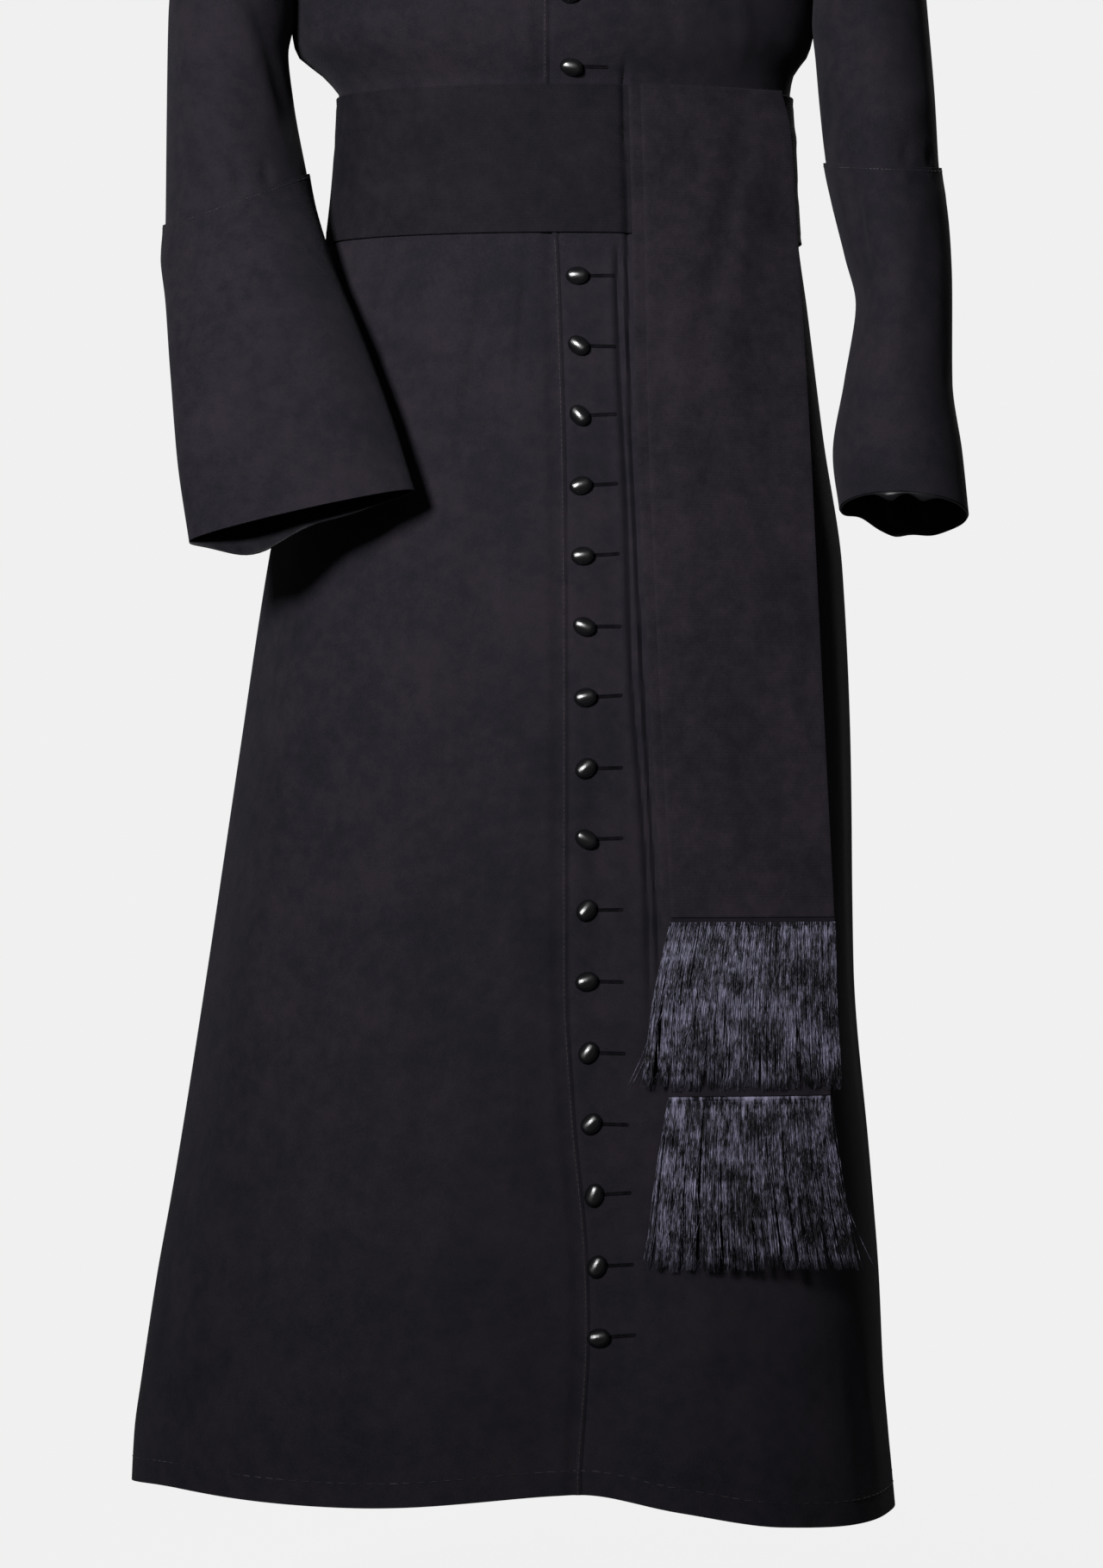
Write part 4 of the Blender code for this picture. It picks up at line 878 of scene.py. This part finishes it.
closing = line_from(*panels["front_left"][1:], "start", 0.0019)
stitch_row("closing_stitches", without(closing, -0.466, -0.350), 0.0036, 0.0031, 0.00050, edge_sewing, 11)
hem_lines = [line_from(*panels[name][1:], "foot", 0.018) for name in ("front_left", "front_right", "back_left", "back_right")]
stitch_row("hem_stitches", hem_lines, 0.0098, 0.0068, 0.00040, hem_sewing, 12)
stitch_row("cuff_stitches", [line_from(*cuffs[word][1:], "foot", 0.0026) for word in ("left", "right")],
           0.0031, 0.0024, 0.00034, worn_and_glint_sewing, 13)
collar_lines = [line_from(*panels["collar"][1:], "top", 0.0045)]
stitch_row("collar_stitches", collar_lines, 0.0032, 0.0024, 0.0003, sewing, 14)


# --- Band -------------------------------------------------------------------------------------
# The cincture's broad band: two layers of ribbed faille with pressed edges, drawn flat and tight
# round the waist, with a few shallow creases where it is drawn.

BAND_CLOTH, BAND_CLEAR = 0.0020, 0.0007
BAND_CREASES = [(math.radians(a), b, math.radians(c), d, e, f) for a, b, c, d, e, f in (
    (-62, -0.378, 10, -0.372, 0.010, 0.0014), (-55, -0.402, -5, -0.410, 0.012, -0.0006),
    (-70, -0.432, 5, -0.438, 0.012, 0.0015), (-95, -0.390, -62, -0.384, 0.010, -0.0006),
    (-34, -0.366, -24, -0.430, 0.012, 0.0013), (-8, -0.392, 2, -0.446, 0.010, 0.0012),
    (70, -0.380, 120, -0.388, 0.010, 0.0008), (64, -0.420, 110, -0.426, 0.012, -0.0006),
    (130, -0.400, 176, -0.392, 0.012, 0.0008), (-172, -0.424, -120, -0.430, 0.012, 0.0008),
    (-165, -0.380, -110, -0.376, 0.009, -0.0006))]
angles = math.pi * (1 - np.linspace(0, 2, 421))
heights = -0.464 + 0.112 * np.array([0, 0.010, 0.022, 0.05, *np.linspace(0.08, 0.92, 24), 0.95, 0.978, 0.990, 1])
angles, heights = np.meshgrid(angles, heights)
grid = section_point(turned(angles), heights, BAND_CLEAR + BAND_CLOTH)
grid[:, -1] = grid[:, 0]
normal = tube_normals(grid)
move = soft_lines(BAND_CREASES, turned(angles), heights, 0.19) * ease((0.056 - np.abs(heights + 0.408)) / 0.016)
rim = 0.0005 * np.exp(-(((0.056 - np.abs(heights + 0.408)) - 0.0045) / 0.0016) ** 2)
grid = grid + normal * (np.clip(move, -0.0005, None) - rim + pressed_in(grid))[..., None]
band = lay_sheet("band_faille", grid, (0, 0, 0))
face = band.data.polygons[15 * 420 + 210]
if face.normal.y > 0:
    band.data.flip_normals()
close_seam(band)
# The band and its ends are one faille in two copies: the band's copy is painted darker, as painted shade, and the ends'
# copy painted lighter, as painted light.
faille = cloth_material("black_faille_painted_darker", (0.0134, 0.0118, 0.0172), (0.0158, 0.0132, 0.0178),
                        0.84, 1300.0, 0.0, 0.5, 0.6, 0.00007, 0.03, 0.16)
end_faille_painted_lighter = cloth_material("black_end_faille_painted_lighter", (0.0236, 0.0202, 0.0285), (0.0272, 0.0218, 0.0292),
                            0.84, 1300.0, 0.0, 0.5, 0.6, 0.00007, 0.03, 0.16)
thicken(band, BAND_CLOTH, faille, faille)
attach(band, "root")
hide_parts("band")


# --- Hanging ends -------------------------------------------------------------------------------
# The band's two ends, folded over its top at the wearer's left and hanging one over the other,
# single layers of the same faille with turned edges, each down to its fringe.

END_CLOTH, ENDS_APART, END_CLEAR = 0.0014, 0.0012, 0.0004
UPPER_END = np.array([(-0.976, 0.0785, 0.2010), (-0.806, 0.0701, 0.1930), (-0.611, 0.0621, 0.1845),
                      (-0.446, 0.0592, 0.1758), (-0.381, 0.0575, 0.1715), (-0.350, 0.0565, 0.1640)])
UNDER_END = np.array([(-1.108, 0.0765, 0.1975), (-0.976, 0.0715, 0.1960), (-0.806, 0.0625, 0.1885),
                      (-0.611, 0.0535, 0.1800), (-0.446, 0.0500, 0.1715), (-0.381, 0.0482, 0.1670),
                      (-0.3515, 0.0475, 0.1600)])
HANG = np.array([(-1.250, -0.160), (-1.108, -0.150), (-0.982, -0.140), (-0.865, -0.128), (-0.730, -0.110),
                 (-0.600, -0.090), (-0.464, -0.060), (-0.350, -0.050)])
hang_depth = smooth_through(HANG[:, 0], HANG[:, 1])
end_edges = {name: [smooth_through(table[:, 0], table[:, k]) for k in (1, 2)]
             for name, table in (("over", UPPER_END), ("under", UNDER_END))}


def front_y(x, height, out):
    return section_point(front_angle(x, height, out), height, out)[..., 1]


def hang_point(x, height, out):
    """A point of the hanging ends, which lie on the band and skirt and bridge past the side."""
    clear = BAND_CLEAR + BAND_CLOTH + END_CLEAR
    turn = 0.72 * LEFT(height)
    slope = (front_y(turn, height, clear) - front_y(turn - 0.002, height, clear)) / 0.002

    def lying(x):
        return front_y(np.minimum(x, turn), height, clear) + slope * np.clip(x - turn, 0, None)

    reach = end_edges["over"][1](height)
    away = np.clip((x - 0.050) / (reach - 0.050), 0, None)
    return stack(x, lying(x) - (lying(reach) - hang_depth(height)) * away**2 - out, height)


END_CREASES = {
    "over": [(0.158, -0.345, 0.112, -0.590, 0.022, 0.0024), (0.124, -0.345, 0.092, -0.540, 0.018, 0.0013),
             (0.140, -0.350, 0.100, -0.600, 0.016, -0.0016), (0.085, -0.480, 0.092, -0.800, 0.016, 0.0010),
             (0.165, -0.620, 0.175, -0.930, 0.016, 0.0012), (0.120, -0.760, 0.128, -0.960, 0.014, 0.0008)],
    "under": [(0.120, -0.990, 0.126, -1.100, 0.014, 0.0006)],
}
for name, foot_height, out in (("over", -0.976, END_CLOTH + ENDS_APART), ("under", -1.108, 0.0)):
    across = np.array([0, 0.006, 0.016, 0.03, 0.05, *np.linspace(0.08, 0.92, 26), 0.95, 0.97, 0.984, 0.994, 1])
    along = np.concatenate([[0, 0.0012, 0.003, 0.006], np.linspace(0.010, -0.3545 - foot_height, 110)]) + foot_height
    across, along = np.meshgrid(across, along)
    inner, outer = (edge_at(along) for edge_at in end_edges[name])
    x = inner + (outer - inner) * across
    grid = hang_point(x, along, out + END_CLOTH)
    move = soft_lines(END_CREASES[name], x, along, None)
    grid[..., 1] -= move
    fold = 0.0026 if name == "over" else 0.0018
    tops = []
    for turn in np.radians([20, 40, 60, 80]):
        row = grid[-1].copy()
        row[:, 2] += fold * math.sin(turn) + 0.0004 * turn
        row[:, 1] += fold * (1 - math.cos(turn)) * 1.1
        tops.append(row)
    grid = np.concatenate([grid, tops])
    side_roll = 0.0005 * (np.exp(-(((grid[..., 0] - grid[:, :1, 0]) / 0.0012) ** 2)) + np.exp(-(((grid[:, -1:, 0] - grid[..., 0]) / 0.0012) ** 2)))
    grid[..., 1] += side_roll
    end = lay_sheet(f"band_end_{name}_faille", grid, (0, -1, 0))
    # The ends wear the faille copy painted lighter, as painted light.
    thicken(end, END_CLOTH, end_faille_painted_lighter, end_faille_painted_lighter)
    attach(end, "root")
    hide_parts(f"band_end_{name}")


# --- Fringes ------------------------------------------------------------------------------------
# A deep fringe of fine crimped silk under each end: a narrow woven heading, and over a thousand
# loose threads that hang in clumps, spread as they fall and stray at the sides.

# The fringe's black silk, its base colour painted with highlights and shade (below).
silk = bpy.data.materials.new("fringe_silk_painted_highlights")
silk.use_nodes = True
tree = silk.node_tree
shader = tree.nodes["Principled BSDF"]
metres = tree.nodes.new("ShaderNodeUVMap")
metres.uv_map = "UVMap"
streaks = node(tree, "ShaderNodeTexNoise", Scale=1.0, Detail=2.0, Roughness=0.6)
shape_of = node(tree, "ShaderNodeMapping")
shape_of.inputs["Scale"].default_value = (1.0, 150.0, 1.0)
tree.links.new(metres.outputs["UV"], shape_of.inputs["Vector"])
tree.links.new(shape_of.outputs["Vector"], streaks.inputs["Vector"])
locks = node(tree, "ShaderNodeTexNoise", Scale=1.0, Detail=3.0, Roughness=0.7)
lock_shape = node(tree, "ShaderNodeMapping")
lock_shape.inputs["Scale"].default_value = (260.0, 60.0, 60.0)
whole = tree.nodes.new("ShaderNodeTexCoord")
tree.links.new(whole.outputs["Object"], lock_shape.inputs["Vector"])
tree.links.new(lock_shape.outputs["Vector"], locks.inputs["Vector"])
# The threads' colour runs from near black to pale bluish grey in streaks, locks and patches: painted highlights, with
# painted shade in the dark gaps between them.
ramp = tree.nodes.new("ShaderNodeValToRGB")
ramp.color_ramp.elements[0].position, ramp.color_ramp.elements[1].position = 0.465, 0.580
ramp.color_ramp.elements[0].color = (0.004, 0.004, 0.006, 1)
ramp.color_ramp.elements[1].color = (0.470, 0.450, 0.640, 1)
areas = node(tree, "ShaderNodeTexNoise", Scale=34.0, Detail=2.0, Roughness=0.5)
tree.links.new(whole.outputs["Object"], areas.inputs["Vector"])
painted_highlight_pattern = maths(tree, "ADD", maths(tree, "MULTIPLY", streaks.outputs["Fac"], 0.36),
              maths(tree, "MULTIPLY", locks.outputs["Fac"], 0.40))
painted_highlight_pattern = maths(tree, "ADD", painted_highlight_pattern, maths(tree, "MULTIPLY", areas.outputs["Fac"], 0.24))
tree.links.new(painted_highlight_pattern, ramp.inputs["Fac"])
tree.links.new(ramp.outputs["Color"], shader.inputs["Base Color"])
crimp = node(tree, "ShaderNodeTexNoise", Scale=1.0, Detail=1.0)
crimp_shape = node(tree, "ShaderNodeMapping")
crimp_shape.inputs["Scale"].default_value = (2.0, 260.0, 1.0)
tree.links.new(metres.outputs["UV"], crimp_shape.inputs["Vector"])
tree.links.new(crimp_shape.outputs["Vector"], crimp.inputs["Vector"])
bump = node(tree, "ShaderNodeBump", Distance=0.0009, Strength=0.9)
tree.links.new(crimp.outputs["Fac"], bump.inputs["Height"])
tree.links.new(bump.outputs["Normal"], shader.inputs["Normal"])
shader.inputs["Roughness"].default_value = 0.34
shader.inputs["Specular IOR Level"].default_value = 0.6
shader.inputs["Specular Tint"].default_value = (0.78, 0.80, 1.0, 1)
shader.inputs["Sheen Weight"].default_value = 0.15


def fringe_point(name, top, length, spread_in, spread_out, across, height, out):
    fall = np.clip((top - height) / length, 0, None)
    inner, outer = (edge_at(np.maximum(height, top + 0.0004)) for edge_at in end_edges[name])
    bulge = (0.0105 if name == "over" else 0.005) * np.sin(math.pi * np.clip(fall * 1.6, 0, 1) / 2) * (1 - across)
    x = inner + (outer - inner) * across - spread_in * fall**1.5 * (1 - across) + spread_out * fall**1.5 * across
    return hang_point(x - bulge, height, out)


def spun_threads(name, paths, radius, phases, material):
    """Fine three-sided threads along their paths, tapering to a point, as one mesh."""
    count, steps = paths.shape[:2]
    turn = phases[:, None, None] * 6.3 + np.linspace(0, 9, steps)[None, :, None] + np.arange(3)[None, None] * 2 * math.pi / 3
    thin = radius[:, None, None] * np.interp(np.arange(steps), [0, steps - 3, steps - 1], [1, 0.9, 0.3])[None, :, None]
    points = paths[:, :, None, :] + stack(thin * np.cos(turn), thin * np.sin(turn) * 0.9, 0 * turn)
    mesh = bpy.data.meshes.new(name)
    base = (np.arange(count) * steps * 3)[:, None, None] + (np.arange(steps - 1) * 3)[None, :, None]
    k, n = np.arange(3)[None, None], (np.arange(3)[None, None] + 1) % 3
    quads = np.stack([base + k, base + n, base + n + 3, base + k + 3], axis=-1).reshape(-1, 4)
    caps = np.concatenate([base[:, 0, 0, None] + np.array([[2, 1, 0]]), base[:, -1, 0, None] + 3 + np.array([[0, 1, 2]])])
    mesh.from_pydata(points.reshape(-1, 3).tolist(), [], quads.tolist() + caps.tolist())
    fall = np.concatenate([np.zeros((count, 1)), np.cumsum(np.linalg.norm(np.diff(paths, axis=1), axis=-1), axis=1)], axis=1)
    uv = np.stack(np.broadcast_arrays(phases[:, None, None] * 300 + np.arange(3)[None, None] * 0.3, fall[..., None] + phases[:, None, None]), axis=-1).reshape(-1, 2)
    layer = mesh.uv_layers.new(name="UVMap")
    corner = np.zeros(len(mesh.loops), np.int32)
    mesh.loops.foreach_get("vertex_index", corner)
    layer.uv.foreach_set("vector", uv[corner].astype(np.float32).ravel())
    mesh.shade_smooth()
    mesh.materials.append(material)
    piece = bpy.data.objects.new(name, mesh)
    bpy.context.scene.collection.objects.link(piece)
    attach(piece, "root")
    return piece


fringes = {}
for name, top, spread_in, spread_out, out, seed, count in (
        ("over", -0.9763, 0.008, 0.006, END_CLOTH + ENDS_APART, 21, 1150),
        ("under", -1.1083, 0.010, 0.024, 0.0, 22, 1150)):
    chance = np.random.default_rng(seed)
    length, steps = (0.1285 if name == "over" else 0.1300), 15
    root = np.sort((np.arange(count) + chance.uniform(-0.4, 0.4, count)) / count)
    root = np.clip(root, 0.002, 0.998)
    layer = chance.uniform(0.0, 1.0, count)
    fall = np.linspace(0, 1, steps)[None, :]
    clumps = np.sort(chance.uniform(0, 1, 34))
    own = np.argmin(np.abs(root[:, None] - clumps[None]), axis=1)
    nearest = clumps[own]
    pull = chance.uniform(0.45, 1.0, count) * (0.85 if name == "over" else 1.0)
    across = root[:, None] + (nearest - root)[:, None] * pull[:, None] * fall**1.2 * 0.9
    across = across + (chance.normal(0, 0.010, 34)[own])[:, None] * fall**2
    drift = chance.normal(0, 0.007, count)[:, None] * fall + chance.normal(0, 0.006, count)[:, None] * np.sin(fall * 3.0 + chance.uniform(0, 6, count)[:, None])
    across = across + drift
    stray = chance.uniform(0, 1, count) < 0.05
    across = across + stray[:, None] * chance.normal(-0.02, 0.10, count)[:, None] * fall**2
    lengths = length * (1 - np.abs(chance.normal(0, 0.020, 34)[own]) - np.abs(chance.normal(0, 0.018, count)) - 0.22 * (chance.uniform(0, 1, count) < 0.05) * chance.uniform(0, 1, count))
    height = top - 0.003 - (lengths[:, None] - 0.003) * fall
    depth = 0.0004 + 0.0026 * layer[:, None] * (1 - 0.25 * fall) + 0.0012 * np.sin(fall * 5 + chance.uniform(0, 6, count)[:, None]) * fall
    depth = np.maximum(depth, 0.0003)
    paths = fringe_point(name, top, length, spread_in, spread_out, np.clip(across, np.where(stray, -0.24, -0.05)[:, None], np.where(stray, 1.12, 1.05)[:, None]), height, out + depth)
    threads = spun_threads(f"fringe_{name}_threads", paths, chance.uniform(0.00022, 0.00036, count), chance.uniform(0, 1, count), silk)
    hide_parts(f"fringe_{name}")

    across, rows = np.meshgrid(np.linspace(0, 1, 121), np.array([0, 0.0008, 0.0016, 0.0024, 0.0034, 0.0044, 0.0052, 0.006]))
    loops = 0.00025 * np.sin(across * 2 * math.pi * 60) * np.sin(rows / 0.006 * math.pi)
    grid = fringe_point(name, top, length, 0, 0, across, top - rows, out + 0.0028 + loops)
    grid = grid[::-1]
    heading = lay_sheet(f"fringe_{name}_heading", grid, (0, -1, 0))
    # The upper heading is of the darker band faille, a painted shadow under its end; the lower one is of the fringe
    # silk with its painted highlights.
    thicken(heading, 0.0016, silk if name == "under" else faille, silk if name == "under" else faille)
    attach(heading, "root")
    fringes[name] = [threads, heading]
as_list(fringes["over"])
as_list(fringes["under"])


# --- Buttons and buttonholes --------------------------------------------------------------------
# Small domed buttons covered in black satin, pulled tight over a mould so that each has its own
# soft ridge, in a row up the outer front, each in a buttonhole worked in silk twist.

satin = bpy.data.materials.new("button_satin")
satin.use_nodes = True
tree = satin.node_tree
shader = tree.nodes["Principled BSDF"]
metres = tree.nodes.new("ShaderNodeUVMap")
metres.uv_map = "UVMap"
tone = node(tree, "ShaderNodeTexNoise", Scale=900.0, Detail=2.0)
tree.links.new(metres.outputs["UV"], tone.inputs["Vector"])
ramp = tree.nodes.new("ShaderNodeValToRGB")
ramp.color_ramp.elements[0].color = (0.0030, 0.0030, 0.0040, 1)
ramp.color_ramp.elements[1].color = (0.0070, 0.0066, 0.0085, 1)
tree.links.new(tone.outputs["Fac"], ramp.inputs["Fac"])
tree.links.new(ramp.outputs["Color"], shader.inputs["Base Color"])
ribs = node(tree, "ShaderNodeTexWave", Scale=520.0, Distortion=0.6, bands_direction="Y")
tree.links.new(metres.outputs["UV"], ribs.inputs["Vector"])
bump = node(tree, "ShaderNodeBump", Distance=0.00004, Strength=0.6)
tree.links.new(ribs.outputs["Fac"], bump.inputs["Height"])
tree.links.new(bump.outputs["Normal"], shader.inputs["Normal"])
shader.inputs["Roughness"].default_value = 0.27
shader.inputs["IOR"].default_value = 1.65
shader.inputs["Specular IOR Level"].default_value = 1.0

BUTTON_WIDE, BUTTON_TALL, BUTTON_RISE = 0.0087, 0.0069, 0.0066
bpy.ops.mesh.primitive_uv_sphere_add(segments=36, ring_count=22, radius=1.0)
mould = bpy.context.object
mould.name = "button_mould"
spots = np.array([v.co for v in mould.data.vertices])
angle, level = np.arctan2(spots[:, 1], spots[:, 0]), spots[:, 2]
flat = np.hypot(spots[:, 0], spots[:, 1])
pleats = 1 + 0.018 * np.sin(angle * 14) * np.exp(-((level + 0.05) / 0.16) ** 2)
pillow = np.clip(1 - spots[:, 1] ** 2, 0, 1) ** 0.75 * (1 - 0.24 * spots[:, 0] ** 2)
pillow = pillow * np.sqrt(np.clip((1 - flat) / 0.25, 0, 1)) * (level > 0)
shaped = np.stack([
    spots[:, 0] * pleats * BUTTON_WIDE,
    spots[:, 1] * pleats * BUTTON_TALL,
    pillow * (BUTTON_RISE - 0.0012) + np.where(level > 0, 0, level * 0.0012) + 0.0012,
], axis=1)
mould.data.vertices.foreach_set("co", shaped.ravel())
corner = np.zeros(len(mould.data.loops), np.int32)
mould.data.loops.foreach_get("vertex_index", corner)
mould.data.uv_layers.active.uv.foreach_set("vector", shaped[corner][:, :2].ravel())
mould.data.materials.append(satin)
mould.data.shade_smooth()

# how far each button is turned on its shank, from the hem up
TURNS = [10, 60, 70, 45, 55, 20, 50, -28, 40, 12, -20, 5, 18, -48, -35, 0, -10, 15, -20, 6, 12, -8]
panel = panels["front_left"][0]
panel_mesh = bmesh.new()
panel_mesh.from_mesh(panel.data)
cloth_tree = bvhtree.BVHTree.FromBMesh(panel_mesh)
number = 0
holes = []
for place in range(24):
    height = -1.2862 + 0.0526 * place
    if -0.472 < height < -0.348:
        continue
    x = float(button_line(height))
    spot, out, _, _ = cloth_tree.ray_cast(Vector((x, -1, height)), Vector((0, 1, 0)))
    number += 1
    button = mould.copy()
    button.data = mould.data.copy()
    button.name = button.data.name = f"button_{number:02d}_satin"
    bpy.context.scene.collection.objects.link(button)
    turn = (out + Vector((-0.15, 0, 0.10))).to_track_quat("Z", "Y").to_matrix()
    level = (math.radians(TURNS[number - 1]), math.radians(((number * 37) % 13 - 6) * 0.9))
    spin = np.array([[math.cos(level[0]), -math.sin(level[0]), 0], [math.sin(level[0]), math.cos(level[0]), 0], [0, 0, 1]])
    frame_of = np.array(turn) @ spin
    points = shaped @ frame_of.T + np.array(spot + out * 0.0004)
    button.data.vertices.foreach_set("co", points.ravel())
    button.data.update()
    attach(button, "root")
    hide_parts(f"button_{number:02d}")
    holes.append((x, height))
bpy.data.objects.remove(mould, do_unlink=True)

# each hole is an eye of close stitches round a slit, from under its button to the right; the slit is a dark sheet of
# painted shade, and the twist is darker than the wool, partly its own colour and partly painted shade
twist = thread_material("buttonhole_twist_and_painted_shade", (0.0056, 0.0048, 0.0070), (0.0110, 0.0094, 0.0132), 0.85)
twist.node_tree.nodes["Principled BSDF"].inputs["Sheen Weight"].default_value = 0.0
twist.node_tree.nodes["Principled BSDF"].inputs["Specular IOR Level"].default_value = 0.08
middles, frames, slit_points, slit_faces = [], [], [], []
chance = np.random.default_rng(31)
for x, height in holes:
    centre, half, wide, lean = x + 0.0120, 0.0142, 0.0009, chance.uniform(-0.06, 0.10)
    lap = 2 * (2 * half + math.pi * wide)
    around = []
    for run in np.arange(0, 2 * half, 0.00055):
        around.append((centre - half + run, wide, 0.0))
        around.append((centre - half + run, -wide, 0.0))
    for turn in np.linspace(-math.pi / 2, math.pi / 2, 8):
        around.append((centre + half + wide * math.cos(turn), wide * math.sin(turn), turn))
    for px, pz, turn in around:
        spot, out, _, _ = cloth_tree.ray_cast(Vector((px, -1, height + pz + lean * (px - x))), Vector((0, 1, 0)))
        if spot is None:
            continue
        out = np.array(out)
        radial = np.array([math.cos(turn), 0, math.sin(turn)]) if turn else np.array([0, 0, math.copysign(1, pz)])
        radial = radial - out * radial.dot(out)
        radial = radial / np.linalg.norm(radial)
        beside = np.cross(out, radial)
        size = chance.uniform(0.85, 1.1)
        frames.append(np.stack([beside * 0.00026, out * 0.00034, radial * 0.00060 * size]))
        middles.append(np.array(spot) + out * 0.00012)
    first = len(slit_points)
    for px in np.linspace(centre - half, centre + half, 13):
        for pz in (-1, 0, 1):
            open_by = 0.00075 * math.sqrt(max(0.0, 1 - ((px - centre) / half) ** 2)) + 0.0001
            spot, out, _, _ = cloth_tree.ray_cast(Vector((px, -1, height + pz * open_by + lean * (px - x))), Vector((0, 1, 0)))
            slit_points.append(spot + out * 0.00012)
    for k in range(12):
        for j in range(2):
            a = first + 3 * k + j
            slit_faces.append((a, a + 3, a + 4, a + 1))
copies_of("buttonhole_stitches", stitch_points, stitch_faces, np.array(middles), np.array(frames), twist)
panel_mesh.free()
# The slits are painted shade: a dark sheet laid where the cut opens.
painted_shade_slits_mesh = bpy.data.meshes.new("buttonhole_slits_painted_shade")
painted_shade_slits_mesh.from_pydata([tuple(p) for p in slit_points], [], slit_faces)
painted_shade_slits = bpy.data.objects.new("buttonhole_slits_painted_shade", painted_shade_slits_mesh)
bpy.context.scene.collection.objects.link(painted_shade_slits)
painted_shade_slits_mesh.materials.append(twist)
painted_shade_slits_mesh.uv_layers.new(name="UVMap")
painted_shade_slits_mesh.update()
if painted_shade_slits_mesh.polygons[0].normal.y > 0:
    painted_shade_slits_mesh.flip_normals()
apply_modifier(painted_shade_slits, "SOLIDIFY", thickness=0.0003, offset=-1)
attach(painted_shade_slits, "root")
